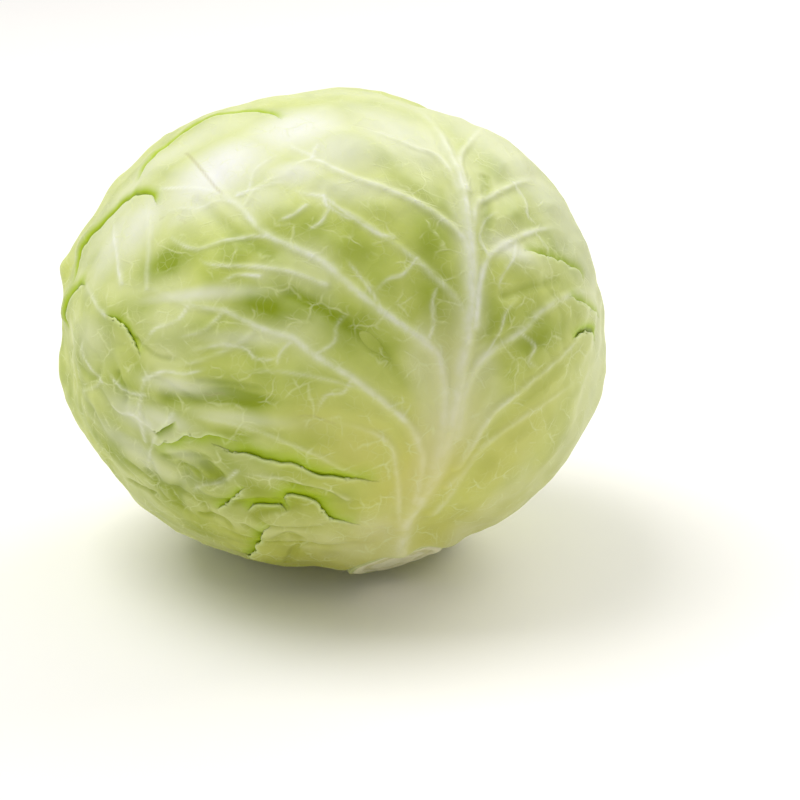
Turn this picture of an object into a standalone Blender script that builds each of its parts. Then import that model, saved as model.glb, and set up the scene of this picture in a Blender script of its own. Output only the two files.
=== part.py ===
"""A whole round cabbage head as cut and trimmed, lying on a small flat spot of its underside.

Metres, +Z up, with the origin under the middle of the head, on the surface it lies on. The head is a dense heart, a
cut stem and six wrapper leaves. A leaf is drawn on its own map of the head, in degrees of arc right of and above the
blade's middle. Each leaf lies one pitch under the leaves that cover it, and comes up again past their edges.
"""

import math

import bpy
import numpy as np
from mathutils import Vector
from mathutils.geometry import delaunay_2d_cdt

# The head, in millimetres and degrees. Its short axis leans to the front at its lower end.
HEAD_RADIUS = 91.0
HEAD_HALF_HEIGHT = 80.0
LEAN = 30.0
FLAT_DEPTH = 4.0
FLAT_ROUNDING = 1.0
VIEW_ELEVATION = 20.0

# Low swells of the outline as seen from the front: degrees round it from the right, and height in millimetres.
OUTLINE_SWELLS = (
    (-166, 1.8),
    (-147, -1.2),
    (-114, 0.8),
    (-95, -2.4),
    (-14, 2.6),
    (19, -1.4),
    (40, 1.1),
    (62, -1.1),
    (101, -1.0),
    (127, 2.0),
    (145, -1.3),
    (163, 1.6),
    (178, -1.5),
)
SWELL_SPREAD = 9.0
LUMP_HEIGHT = 0.9
LUMP_WAVES = np.array(((4.0, 2.5, -1.5), (-2.0, 4.5, 3.0), (1.5, -3.0, 5.0)))

# The stem is a cone whose point is the middle of the head.
STEM_SLANT = 14.0
STEM_HALF_ANGLE = 10.4
STEM_CUT = 79.5
STEM_EDGE = 1.4
STEM_ROOT = 42.0
STEM_SKIRT = 9.0
STEM_STEPS = 28
DIMPLE_DEPTH = 6.0
DIMPLE_SPREAD = 17.0
LEAF_RING = 12.0
CLEARANCE = 0.5
HEART_STEPS = 32
HEART_RING_STEP = 9.0
HEART_LAST_RING = 172.0

# The leaves
BLADE = 0.8
GAP = 0.7
HEART_GAP = 1.6
COVER_FADE = 13.0
DROP = 80.0
FIRST_TURN = 5.0
SPIRAL_STEP = 137.5
EVEN_SPIRAL = 137.5078
ENVELOPE_HALF_WINDOW = 12
LIFT_FADE = 9.0
EDGE_STEP = 5.0
RIB_STEP = 6.5
FINE_STEP = 0.5
LINE_ROOM = 1.6
FILL_ROOM = 3.6
EDGE_ROOM = 3.2
FILL_POINTS = 740
MM_PER_DEGREE = 1.5
LEAST_BARE = 0.05
MERGE_DISTANCE = 1e-5

# Half width and height of a rib at its root and at its tip, in millimetres
MIDRIB = (9.0, 1.6, 3.6, 0.8)
LATERAL = (2.9, 1.4, 1.5, 0.5)
SIDE_RIB = (2.2, 1.2, 1.0, 0.4)
FOLD = (5.0, 3.5, 2.3, 1.4)
RIB_TIP_FADE = 0.125

# The outermost leaf, point by point on its own map
FRONT_EDGE = (
    (90, -8),
    (90, 18),
    (80, 42),
    (63, 62),
    (45, 75),
    (28, 79),
    (14, 71),
    (4, 61),
    (-5, 57),
    (-15, 62),
    (-30, 66),
    (-38, 62),
    (-45, 53),
    (-41, 44),
    (-52, 44),
    (-64, 38),
    (-71, 29),
    (-64, 24),
    (-78, 20),
    (-91, 8),
    (-96, -12),
    (-92, -34),
    (-80, -52),
    (-64, -66),
    (-50, -74),
    (-30, -78),
    (-12, -78),
    (0, -76),
    (14, -78),
    (36, -78),
    (60, -64),
    (78, -46),
    (87, -26),
)
FRONT_MIDRIB = (
    (1, -70),
    (5, -59),
    (9, -45),
    (14, -33),
    (18, -18),
    (22, -2),
    (26, 10),
    (29, 24),
    (32, 40),
    (35, 56),
    (36, 70),
)
FRONT_LATERALS = (
    ((30, 29), (23, 36), (15, 44), (7, 49)),
    ((25, 11), (17, 19), (6, 30), (-5, 42)),
    ((20, -3), (11, 11), (1, 22), (-6, 30), (-14, 42)),
    ((14, -21), (8, -5), (-2, 7), (-12, 17), (-19, 28), (-26, 40), (-31, 52)),
    ((6, -46), (8, -30), (2, -18), (-8, -8), (-25, 6), (-40, 15), (-52, 22), (-64, 18)),
    ((0, -60), (-3, -46), (-12, -30), (-29, -17), (-47, -9), (-66, -4)),
    ((28, 20), (34, 21), (47, 25), (58, 31), (70, 40)),
    ((22, -2), (29, 6), (39, 11), (53, 13), (68, 17)),
    ((17, -21), (29, -12), (40, -6), (52, -4), (70, -6)),
    ((13, -36), (25, -26), (36, -20), (50, -15), (68, -18)),
    ((33, 32), (40, 39), (53, 49)),
)
FRONT_FOLDS = (
    ((-54, -15), (-44, -15), (-35, -16), (-27, -22), (-20, -30), (-10, -34)),
    ((-46, -35), (-36, -36), (-27, -38), (-19, -44), (-9, -50)),
    ((-36, -50), (-38, -58), (-45, -66)),
)
# Where an edge stands off the leaf under it: map position, spread in degrees and height in millimetres
FRONT_LIFTS = (
    ((-30, 64), 13, 1.2),
    ((-66, 34), 10, 2.2),
    ((-76, 20), 8, 1.6),
    ((-50, -70), 12, 1.5),
)

# The leaves under it, from the outside in: name, half width, reach towards the top of the head, place of a tear
INNER_LEAVES = (
    ("leaf_rear_right", 69.0, 76.0, 150.0),
    ("leaf_left", 67.0, 80.0, 20.0),
    ("leaf_right", 74.0, 88.0, 118.0),
    ("leaf_rear", 72.0, 96.0, 66.0),
    ("leaf_front_left", 72.0, 112.0, 105.0),
)
BASE_REACH = 75.0
SQUARENESS = 2.3
WAVES = ((7, 1.6), (12, 1.1), (19, 0.7))
TEAR_DEPTH = 11.0
TEAR_HALF_WIDTH = 7.0
LATERAL_STARTS = (0.30, 0.44, 0.58, 0.71, 0.84)
LATERAL_REACH = 1.1
LATERAL_TAPER = 0.6
LATERAL_RISE = 26.0
LATERAL_BEND = 20.0
RIB_BEND = 9.0
RIB_START = 10.0
RIB_REACH = 0.9
CURL = 1.3
CURL_SPREAD = 30.0

COLOURS = {
    "heart": (0.72, 0.74, 0.38),
    "stem": (0.80, 0.78, 0.55),
    "leaf_front": (0.62, 0.70, 0.36),
    "leaf_rear_right": (0.58, 0.68, 0.32),
    "leaf_left": (0.60, 0.70, 0.34),
    "leaf_right": (0.55, 0.66, 0.30),
    "leaf_rear": (0.57, 0.68, 0.33),
    "leaf_front_left": (0.62, 0.71, 0.38),
}


def unit(vectors):
    return vectors / np.linalg.norm(vectors, axis=-1, keepdims=True)


def turn_about_x(degrees):
    angle = math.radians(degrees)
    return np.array(
        (
            (1.0, 0.0, 0.0),
            (0.0, math.cos(angle), -math.sin(angle)),
            (0.0, math.sin(angle), math.cos(angle)),
        )
    )


def smooth_step(value):
    value = np.clip(value, 0.0, 1.0)
    return value * value * (3.0 - 2.0 * value)


def arc(directions, centres):
    """Degrees of arc from each direction to the nearest of the centres."""
    near = (directions @ np.atleast_2d(centres).T).max(axis=1)
    return np.degrees(np.arccos(np.clip(near, -1.0, 1.0)))


TO_WORLD = turn_about_x(-LEAN)
SEMI_AXES = np.array((HEAD_RADIUS, HEAD_RADIUS, HEAD_HALF_HEIGHT))
STEM = np.array((math.sin(math.radians(STEM_SLANT)), 0.0, -math.cos(math.radians(STEM_SLANT))))
VIEW_UP = turn_about_x(LEAN - VIEW_ELEVATION) @ np.array((0.0, 0.0, 1.0))
FRONT = np.array((0.0, -1.0, 0.0))
RIGHT = np.cross(-STEM, FRONT)
FLOOR = FLAT_DEPTH - np.linalg.norm(SEMI_AXES * (TO_WORLD.T @ np.array((0.0, 0.0, -1.0))))


def swell(directions):
    """How far the head stands out of its round form."""
    height = np.zeros(len(directions))
    for degrees, amount in OUTLINE_SWELLS:
        angle = math.radians(degrees)
        centre = np.array((math.cos(angle), 0.0, 0.0)) + math.sin(angle) * VIEW_UP
        height += amount * np.exp(-((arc(directions, centre) / SWELL_SPREAD) ** 2))
    waves = np.sin(directions @ LUMP_WAVES.T + np.array((0.4, 1.9, 3.1)))
    dimple = DIMPLE_DEPTH * np.exp(-((arc(directions, STEM) / DIMPLE_SPREAD) ** 2))
    return height + LUMP_HEIGHT * waves.prod(axis=1) - dimple


def place(directions, depth, raised=0.0):
    """World points in millimetres, this deep under the head's surface, and none lower than the surface it lies on."""
    normals = unit(directions / SEMI_AXES)
    out = (swell(directions) - depth + raised)[:, None]
    points = (directions * SEMI_AXES + out * normals) @ TO_WORLD.T
    rest = FLOOR + depth
    blend = np.maximum(FLAT_ROUNDING - np.abs(points[:, 2] - rest), 0.0)
    points[:, 2] = np.maximum(points[:, 2], rest) + blend**2 / (4.0 * FLAT_ROUNDING)
    return points


def smooth_line(points, step):
    """Points a step apart along a smooth curve through the given ones."""
    points = np.array(points, float)
    ends = np.vstack((2 * points[0] - points[1], points, 2 * points[-1] - points[-2]))
    found = []
    for a, b, c, d in zip(ends, ends[1:], ends[2:], ends[3:]):
        count = max(1, round(np.linalg.norm(c - b) / step))
        t = (np.arange(count) / count)[:, None]
        curve = 2 * b + (c - a) * t + (2 * a - 5 * b + 4 * c - d) * t**2 + (3 * b - a - 3 * c + d) * t**3
        found.append(curve / 2)
    return np.vstack(found + [points[-1:]])


def inside(points, polygon):
    """Which points lie inside a closed polygon."""
    crossings = np.zeros(len(points), int)
    for a, b in zip(polygon, np.roll(polygon, -1, axis=0)):
        between = (a[1] > points[:, 1]) != (b[1] > points[:, 1])
        rise = b[1] - a[1] if b[1] != a[1] else 1.0
        crossing = a[0] + (points[:, 1] - a[1]) * (b[0] - a[0]) / rise
        crossings += between & (points[:, 0] < crossing)
    return crossings % 2 == 1


class Rib:
    """A raised line on a blade, which narrows from its root to its tip."""

    def __init__(self, leaf, points, size):
        self.line = leaf.from_map(smooth_line(points, FINE_STEP))
        self.size = size
        along = unit(np.gradient(self.line, axis=0))
        self.side = np.cross(along, self.line)
        self.run = np.linspace(0.0, 1.0, len(self.line))

    def half_width(self, run):
        return self.size[0] + (self.size[1] - self.size[0]) * np.sqrt(run)

    def height(self, directions):
        nearest = (directions @ self.line.T).argmax(axis=1)
        run = self.run[nearest]
        away = np.linalg.norm(directions - self.line[nearest], axis=1) * HEAD_RADIUS / self.half_width(run)
        peak = self.size[2] + (self.size[3] - self.size[2]) * run
        fade = smooth_step((1.0 - run) / RIB_TIP_FADE)
        return peak * fade * (0.5 + 0.5 * np.cos(math.pi * np.minimum(away, 1.0)))

    def lines(self):
        """The crest and the two feet, thinned to the mesh's step."""
        every = max(1, round(RIB_STEP / FINE_STEP))
        kept = np.arange(0, len(self.line), every)
        shift = self.side[kept] * (self.half_width(self.run[kept]) / HEAD_RADIUS)[:, None]
        for across in (0.0, 1.0, -1.0):
            yield unit(self.line[kept] + across * shift)


class Leaf:
    """One wrapper leaf: its place on the head, its outline, its ribs and the leaves that cover it."""

    def __init__(self, name, number, covers):
        self.name = name
        self.covers = list(covers)
        turn = math.radians(FIRST_TURN + SPIRAL_STEP * number)
        drop = math.radians(DROP)
        outward = math.cos(turn) * FRONT + math.sin(turn) * RIGHT
        self.centre = math.cos(drop) * STEM + math.sin(drop) * outward
        self.up = math.cos(drop) * outward - math.sin(drop) * STEM
        self.across = np.cross(self.up, self.centre)
        self.ribs = []
        self.lifts = ()

    def to_map(self, directions):
        x, y, z = directions @ self.across, directions @ self.up, directions @ self.centre
        flat = np.maximum(np.hypot(x, y), 1e-9)
        reach = np.degrees(np.arctan2(flat, z))
        return np.column_stack((x, y)) * (reach / flat)[:, None]

    def from_map(self, points):
        points = np.array(points, float)
        reach = np.maximum(np.hypot(points[:, 0], points[:, 1]), 1e-9)
        flat = points * (np.sin(np.radians(reach)) / reach)[:, None]
        return (
            flat[:, :1] * self.across
            + flat[:, 1:] * self.up
            + np.cos(np.radians(reach))[:, None] * self.centre
        )

    def set_edge(self, points):
        """Keeps the outline off the stem, and works out the smooth outline that the leaves below follow."""
        edge = self.from_map(smooth_line(list(points) + [points[0]], FINE_STEP)[:-1])
        off = unit(edge - (edge @ STEM)[:, None] * STEM)
        ring = math.cos(math.radians(LEAF_RING)) * STEM + math.sin(math.radians(LEAF_RING)) * off
        edge = np.where((arc(edge, STEM) < LEAF_RING)[:, None], ring, edge)
        run = np.cumsum(np.linalg.norm(edge - np.roll(edge, 1, axis=0), axis=1)) / math.radians(EDGE_STEP)
        self.edge = self.to_map(edge[np.flatnonzero(np.diff(np.floor(run), prepend=-1.0))])
        self.edge_directions = self.from_map(smooth_line(np.vstack((self.edge, self.edge[:1])), 1.0))
        fine = self.to_map(self.edge_directions)
        angle = np.degrees(np.arctan2(fine[:, 1], fine[:, 0])) % 360
        order = np.argsort(angle)
        reach = np.interp(np.arange(360), angle[order], np.hypot(*fine.T)[order], period=360)
        window = range(-ENVELOPE_HALF_WINDOW, ENVELOPE_HALF_WINDOW + 1)
        widest = np.max([np.roll(reach, shift) for shift in window], axis=0)
        self.envelope = np.mean([np.roll(widest, shift) for shift in window], axis=0)

    def cover(self, directions):
        """1 under this leaf, falling to 0 past its edge."""
        points = self.to_map(directions)
        angle = np.degrees(np.arctan2(points[:, 1], points[:, 0])) % 360
        limit = np.interp(angle, np.arange(360), self.envelope, period=360)
        return 1.0 - smooth_step((np.hypot(*points.T) - limit) / COVER_FADE)

    def depth(self, directions):
        found = np.zeros(len(directions))
        for leaf in self.covers:
            found += (BLADE + GAP) * leaf.cover(directions)
        return found

    def bare(self, directions):
        """1 where nothing covers this leaf."""
        found = np.ones(len(directions))
        for leaf in self.covers:
            found *= 1.0 - leaf.cover(directions)
        return found

    def lift(self, directions):
        height = np.zeros(len(directions))
        for spot, spread, amount in self.lifts:
            centre = self.from_map([spot])
            height += amount * np.exp(-((arc(directions, centre) / spread) ** 2))
        near_edge = 1.0 - smooth_step(arc(directions, self.edge_directions) / LIFT_FADE)
        return height * near_edge * self.bare(directions)

    def rib_height(self, directions):
        heights = [rib.height(directions) for rib in self.ribs]
        return np.max(heights, axis=0) * self.bare(directions)

    def mesh_points(self):
        """Map points and the edges between them: the outline, the crests and feet of the ribs, and a fill."""
        count = len(self.edge)
        points = [self.edge]
        edges = [(i, (i + 1) % count) for i in range(count)]
        taken = np.empty((0, 3))
        for rib in self.ribs:
            for line in rib.lines():
                keep = inside(self.to_map(line), self.edge)
                keep &= arc(line, self.edge_directions) * MM_PER_DEGREE > EDGE_ROOM
                keep &= self.bare(line) > LEAST_BARE
                if len(taken):
                    keep &= arc(line, taken) * MM_PER_DEGREE > LINE_ROOM
                numbers = count + np.cumsum(keep) - 1
                pairs = np.flatnonzero(keep[:-1] & keep[1:])
                edges += [(int(numbers[i]), int(numbers[i + 1])) for i in pairs]
                points.append(self.to_map(line[keep]))
                count += int(keep.sum())
            lines = [self.from_map(found) for found in points[1:] if len(found)]
            taken = np.vstack(lines) if lines else taken
        fill = spread_directions(FILL_POINTS)
        fill = fill[inside(self.to_map(fill), self.edge)]
        fill = fill[arc(fill, self.edge_directions) * MM_PER_DEGREE > FILL_ROOM]
        if len(taken):
            fill = fill[arc(fill, taken) * MM_PER_DEGREE > FILL_ROOM]
        points.append(self.to_map(fill))
        return np.vstack(points), edges

    def solid(self):
        """Points and faces of the blade: the two faces are split alike, with a wall round the outline."""
        points, edges = self.mesh_points()
        found = delaunay_2d_cdt([Vector(p) for p in points], edges, [], 1, MERGE_DISTANCE, False)
        flat, triangles = np.array([tuple(p) for p in found[0]]), np.array(found[2])
        triangles = triangles[inside(flat[triangles].mean(axis=1), self.edge)]
        used, triangles = np.unique(triangles, return_inverse=True)
        triangles = triangles.reshape(-1, 3)
        directions = self.from_map(flat[used])
        depth, lift = self.depth(directions), self.lift(directions)
        outer = place(directions, depth, lift + self.rib_height(directions))
        inner = place(directions, depth + BLADE, lift)
        return np.vstack((outer, inner)), shell_faces(triangles, len(used))


def shell_faces(triangles, count):
    """The outer faces, the same ones turned round for the inner side, and the wall between their open edges."""
    faces = triangles.tolist() + (triangles[:, ::-1] + count).tolist()
    sides = np.vstack((triangles[:, [0, 1]], triangles[:, [1, 2]], triangles[:, [2, 0]])).tolist()
    known = {tuple(side) for side in sides}
    for a, b in sorted(known):
        if (b, a) not in known:
            faces += [[b, a, a + count], [b, a + count, b + count]]
    return faces


def spread_directions(count):
    """Directions spread evenly over a sphere, along a spiral."""
    numbers = np.arange(count) + 0.5
    height = 1.0 - 2.0 * numbers / count
    angle = numbers * math.radians(EVEN_SPIRAL)
    ring = np.sqrt(1.0 - height**2)
    return np.column_stack((ring * np.cos(angle), ring * np.sin(angle), height))


def front_leaf():
    leaf = Leaf("leaf_front", 0, [])
    leaf.set_edge(FRONT_EDGE)
    leaf.lifts = FRONT_LIFTS
    leaf.ribs.append(Rib(leaf, FRONT_MIDRIB, MIDRIB))
    leaf.ribs += [Rib(leaf, points, LATERAL) for points in FRONT_LATERALS]
    leaf.ribs += [Rib(leaf, points, FOLD) for points in FRONT_FOLDS]
    return leaf


def inner_edge(half_width, reach, tear, number):
    """A broad round blade with a waved margin and one tear."""
    angles = np.arange(0, 360, 4)
    across, up = np.cos(np.radians(angles)), np.sin(np.radians(angles))
    tall = np.where(up > 0, reach, BASE_REACH)
    radius = ((np.abs(across) / half_width) ** SQUARENESS + (np.abs(up) / tall) ** SQUARENESS) ** (-1 / SQUARENESS)
    for waves, size in WAVES:
        radius += size * (1.0 + 0.6 * up) * np.sin(np.radians(waves * angles) + number * waves)
    away = np.abs((angles - tear + 180) % 360 - 180)
    radius -= TEAR_DEPTH * np.maximum(0.0, 1.0 - away / TEAR_HALF_WIDTH)
    return np.column_stack((across * radius, up * radius)).tolist()


def inner_leaf(number, size, covers):
    name, half_width, reach, tear = size
    leaf = Leaf(name, number, covers)
    leaf.set_edge(inner_edge(half_width, reach, tear, number))
    turn = 1 if number % 2 else -1
    run = np.linspace(0.0, 1.0, 9)
    rise = RIB_START - DROP + (DROP + reach * RIB_REACH) * run
    middle = np.column_stack((turn * RIB_BEND * np.sin(math.pi * run), rise))
    leaf.ribs.append(Rib(leaf, middle, MIDRIB))
    for start in LATERAL_STARTS:
        for side in (1, -1):
            leaf.ribs.append(Rib(leaf, lateral(middle, start, side, half_width), SIDE_RIB))
    for spot in ((half_width, RIB_START), (-half_width, -RIB_START), (0, reach)):
        leaf.lifts += ((spot, CURL_SPREAD, CURL),)
    return leaf


def lateral(middle, start, side, half_width):
    """A side rib that leaves the midrib at a slant and bends up towards the margin."""
    at = start * (len(middle) - 1)
    root = np.array([np.interp(at, np.arange(len(middle)), column) for column in middle.T])
    run = np.linspace(0.0, 1.0, 6)
    out = side * half_width * (LATERAL_REACH - LATERAL_TAPER * start) * run
    up = LATERAL_RISE * run + LATERAL_BEND * run**2 * (1 - start)
    return root + np.column_stack((out, up))


def ring_points(height, radius, steps):
    """A ring round the stem's axis, as offsets from the middle of the head, in the head's own frame."""
    angle = np.radians(np.arange(steps) * 360.0 / steps)[:, None]
    return height * STEM + radius * (np.cos(angle) * FRONT + np.sin(angle) * RIGHT)


def lathe_faces(rings, steps):
    """Faces of a turned form, from its lower end: a point, rings of points, and a point."""
    last = 1 + rings * steps
    faces = []
    for i in range(steps):
        j = (i + 1) % steps
        faces.append([0, 1 + j, 1 + i])
        faces.append([last, last - steps + i, last - steps + j])
        for ring in range(rings - 1):
            a, b = 1 + ring * steps, 1 + (ring + 1) * steps
            faces += [[a + i, a + j, b + j], [a + i, b + j, b + i]]
    return faces


def heart_solid(leaves):
    """The packed inner leaves, with a socket for the root of the stem."""
    steps = HEART_STEPS
    socket = STEM_ROOT * math.tan(math.radians(STEM_HALF_ANGLE)) + 2 * CLEARANCE
    floor = STEM_ROOT - CLEARANCE
    rings = [ring_points(floor, socket, steps) @ TO_WORLD.T]
    for degrees in list(np.arange(LEAF_RING, HEART_LAST_RING - 2.0, HEART_RING_STEP)) + [HEART_LAST_RING]:
        angle = math.radians(degrees)
        rings.append(heart_surface(ring_points(math.cos(angle), math.sin(angle), steps), leaves))
    first = floor * STEM[None, :] @ TO_WORLD.T
    last = heart_surface(-STEM[None, :], leaves)
    return np.vstack([first] + rings + [last]), lathe_faces(len(rings), steps)


def heart_surface(directions, leaves):
    depth = sum((BLADE + GAP) * leaf.cover(directions) for leaf in leaves)
    return place(directions, depth + HEART_GAP - GAP)


def stem_solid():
    """The stump: a cone with a rounded rim and a flat cut face."""
    steps = STEM_STEPS
    slope = math.tan(math.radians(STEM_HALF_ANGLE))
    profile = (
        (STEM_CUT, STEM_CUT * slope - STEM_EDGE),
        (STEM_CUT - STEM_EDGE * 0.4, STEM_CUT * slope - STEM_EDGE * 0.4),
        (STEM_CUT - STEM_EDGE, (STEM_CUT - STEM_EDGE) * slope),
        (STEM_CUT - STEM_SKIRT, (STEM_CUT - STEM_SKIRT) * slope),
        (STEM_ROOT, STEM_ROOT * slope),
    )
    rings = [ring_points(height, radius, steps) for height, radius in profile]
    points = np.vstack([STEM_CUT * STEM[None, :]] + rings + [STEM_ROOT * STEM[None, :]])
    return points @ TO_WORLD.T, lathe_faces(len(rings), steps)


def material(name):
    """A leaf or stem finish in the node's own colour."""
    made = bpy.data.materials.new(name)
    made.use_nodes = True
    shader = made.node_tree.nodes["Principled BSDF"]
    shader.inputs["Base Color"].default_value = (*COLOURS[name], 1.0)
    shader.inputs["Roughness"].default_value = 0.45
    shader.inputs["Metallic"].default_value = 0.0
    return made


def add_object(name, points, faces):
    mesh = bpy.data.meshes.new(name)
    mesh.from_pydata((points / 1000.0).tolist(), [], faces)
    mesh.materials.append(material(name))
    mesh.shade_smooth()
    mesh.set_sharp_from_angle(angle=math.radians(40.0))
    bpy.context.scene.collection.objects.link(bpy.data.objects.new(name, mesh))


def main():
    for old in list(bpy.data.objects):
        bpy.data.objects.remove(old, do_unlink=True)
    leaves = [front_leaf()]
    for number, size in enumerate(INNER_LEAVES, 1):
        leaves.append(inner_leaf(number, size, leaves))
    solids = {"heart": heart_solid(leaves), "stem": stem_solid()}
    solids.update({leaf.name: leaf.solid() for leaf in leaves})
    everything = np.vstack([points for points, _ in solids.values()])
    low, high = everything.min(axis=0), everything.max(axis=0)
    origin = np.array(((low[0] + high[0]) / 2, (low[1] + high[1]) / 2, low[2]))
    for name, (points, faces) in solids.items():
        add_object(name, points - origin, faces)


main()
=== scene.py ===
import math

import bmesh
import bpy
import mathutils
import numpy as np
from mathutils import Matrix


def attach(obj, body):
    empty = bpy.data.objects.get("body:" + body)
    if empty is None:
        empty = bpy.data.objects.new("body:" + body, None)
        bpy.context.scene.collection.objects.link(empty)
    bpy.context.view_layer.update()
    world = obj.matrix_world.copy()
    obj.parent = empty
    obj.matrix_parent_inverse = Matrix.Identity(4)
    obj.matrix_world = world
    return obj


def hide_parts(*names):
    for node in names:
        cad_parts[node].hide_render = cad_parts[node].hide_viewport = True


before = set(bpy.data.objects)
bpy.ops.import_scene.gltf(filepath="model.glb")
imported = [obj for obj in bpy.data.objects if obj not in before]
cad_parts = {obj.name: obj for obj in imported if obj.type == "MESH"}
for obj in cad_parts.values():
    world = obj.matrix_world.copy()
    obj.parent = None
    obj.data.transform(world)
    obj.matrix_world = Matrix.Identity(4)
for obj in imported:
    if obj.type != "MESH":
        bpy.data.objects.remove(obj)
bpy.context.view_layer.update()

# The dressed model of one whole cabbage head: six wrapper leaves, the heart and the cut stem, made in place of
# the imported ones. Lengths are in millimetres from the middle of the head and angles in degrees until a mesh
# gets its place. A leaf is drawn on its own map of the head, in degrees of arc right of and above the blade's
# middle.

# The head. Its short axis leans to the front at its lower end.
HEAD_MIDDLE = np.array((-0.135, -0.094, 78.887))
HEAD_RADIUS = 91.0
HEAD_HALF_HEIGHT = 80.0
LEAN = 30.0
FLAT_DEPTH = 4.0
FLAT_ROUNDING = 1.0
VIEW_ELEVATION = 20.0
MM_PER_DEGREE = 1.5
MM_PER_METRE = 1000.0
DEGREES_PER_RADIAN = 57.3
TINY = 1e-9
FAR = 1e9

# Low swells of the outline as seen from the front: degrees round it from the right, and height.
OUTLINE_SWELLS = (
    (-166, 1.8), (-147, -1.2), (-114, 0.8), (-95, -2.4), (-14, 2.6), (19, -1.4), (40, 1.1), (62, -1.1),
    (101, -1.0), (127, 2.0), (145, -1.3), (163, 1.6), (178, -1.5),
)
SWELL_SPREAD = 9.0
LUMP_HEIGHT = 0.9
LUMP_WAVES = np.array(((4.0, 2.5, -1.5), (-2.0, 4.5, 3.0), (1.5, -3.0, 5.0)))
LUMP_PHASES = np.array((0.4, 1.9, 3.1))

# The stem is a cone whose point is the middle of the head.
STEM_SLANT = 14.0
STUMP_SLOPE = 0.208
STEM_CUT = 79.5
STEM_ROOT = 42.0
DIMPLE_DEPTH = 6.0
DIMPLE_SPREAD = 17.0
LEAF_RING = 10.9
STEM_SEGMENTS = 144
STEM_RINGS = 60
STEM_SMOOTH_ANGLE = 50.0

# The stump from the middle of its cut face to its root: place on the ball that it is made from, how far it
# lies out from the cut, and its radius as a share of the cut's and in millimetres more
STUMP_PROFILE = (
    (0.0, -0.5, 0.0, 0.0),
    (0.18, -0.2, 0.4, 0.0),
    (0.28, 0.0, 0.62, 0.0),
    (0.45, 0.0, 1.0, -2.2),
    (0.52, -0.3, 1.0, -0.8),
    (0.60, -1.4, 1.0, -0.3),
)
STUMP_ROOT_PLACE = 0.97
FACE_PLACE = 0.5
FACE_RING = 0.68
FACE_RING_WIDTH = 0.07
FACE_RING_DEPTH = 0.35
FACE_GRAIN = 0.18
FACE_GRAIN_SIZE = 0.25
SIDE_BUCKLE = 0.025
SIDE_BUCKLE_LENGTH = 30.0
SIDE_RIBS = 9.0
SIDE_RIB_SHARE = 0.01

# The heart
HEART_SEGMENTS = 160
HEART_RINGS = 90
HEART_SEED = 9
HEART_RELIEF = 0.4
HEART_LIME = 0.4
HEART_MOTTLE = 0.3
HEART_YELLOW = 0.4
SOCKET_DEPTH = 35.0
SOCKET_WIDTH = 12.5
SOCKET_END = 3.0

# The leaves
BLADE = 0.8
GAP = 0.7
HEART_GAP = 1.3
UNDER_ROOM = 1.7
COLLAR = 4.2
COLLAR_SPREAD = 4.5
COVER_FADE = 13.0
DROP = 80.0
FIRST_TURN = 5.0
SPIRAL_STEP = 137.5
ENVELOPE_HALF_WINDOW = 12
EDGE_STEP = 0.5
FRONT_CELLS = 280
LEAF_CELLS = 180
INNER_SHARE = 0.12
CENTRE_FINENESS = 0.8
CUT_SAMPLES = 2
CUT_ROOM = 1.5
CUT_MATCH = 2e-3
CUT_WELD = 1e-5
EDGE_SAMPLES = 2
SOFT_SPREAD = 24
SHARP_POWER = 6
EDGE_THINNING = 0.45
EDGE_THIN_WIDTH = 2.0
THICKNESS_LEVELS = 10

# The camera, in the photo's frame: a pixel lies on the upright plane through the head's middle.
PHOTO_MIDDLE = (332.4, 331.9)
PIXELS_PER_MM = 3.009
PHOTO_SIZE = 800
CAMERA_DISTANCE = 1000.0
SENSOR_WIDTH = 36.0


def unit(vectors):
    return vectors / np.linalg.norm(vectors, axis=-1, keepdims=True)


def turn_about_x(degrees):
    angle = math.radians(degrees)
    return np.array(
        (
            (1.0, 0.0, 0.0),
            (0.0, math.cos(angle), -math.sin(angle)),
            (0.0, math.sin(angle), math.cos(angle)),
        )
    )


def smooth_step(value):
    value = np.clip(value, 0.0, 1.0)
    return value * value * (3.0 - 2.0 * value)


def bell(value):
    """1 at nought, falling to nothing a little past 1."""
    return np.exp(-(value**2))


def arc(directions, centres):
    """Degrees of arc from each direction to the nearest of the centres."""
    near = (directions @ np.atleast_2d(centres).T).max(axis=1)
    return np.degrees(np.arccos(np.clip(near, -1.0, 1.0)))


TO_WORLD = turn_about_x(-LEAN)
SEMI_AXES = np.array((HEAD_RADIUS, HEAD_RADIUS, HEAD_HALF_HEIGHT))
STEM = np.array((math.sin(math.radians(STEM_SLANT)), 0.0, -math.cos(math.radians(STEM_SLANT))))
VIEW_RIGHT = np.array((1.0, 0.0, 0.0))
VIEW_UP = turn_about_x(LEAN - VIEW_ELEVATION) @ np.array((0.0, 0.0, 1.0))
VIEW_BACK = turn_about_x(LEAN - VIEW_ELEVATION) @ np.array((0.0, -1.0, 0.0))
FRONT = np.array((0.0, -1.0, 0.0))
RIGHT = np.cross(-STEM, FRONT)
FLOOR = FLAT_DEPTH - np.linalg.norm(SEMI_AXES * (TO_WORLD.T @ np.array((0.0, 0.0, -1.0))))


def swell(directions):
    """How far the head stands out of its round form."""
    height = np.zeros(len(directions))
    for degrees, amount in OUTLINE_SWELLS:
        angle = math.radians(degrees)
        centre = np.array((math.cos(angle), 0.0, 0.0)) + math.sin(angle) * VIEW_UP
        height += amount * bell(arc(directions, centre) / SWELL_SPREAD)
    waves = np.sin(directions @ LUMP_WAVES.T + LUMP_PHASES)
    dimple = DIMPLE_DEPTH * bell(arc(directions, STEM) / DIMPLE_SPREAD)
    return height + LUMP_HEIGHT * waves.prod(axis=1) - dimple


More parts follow.
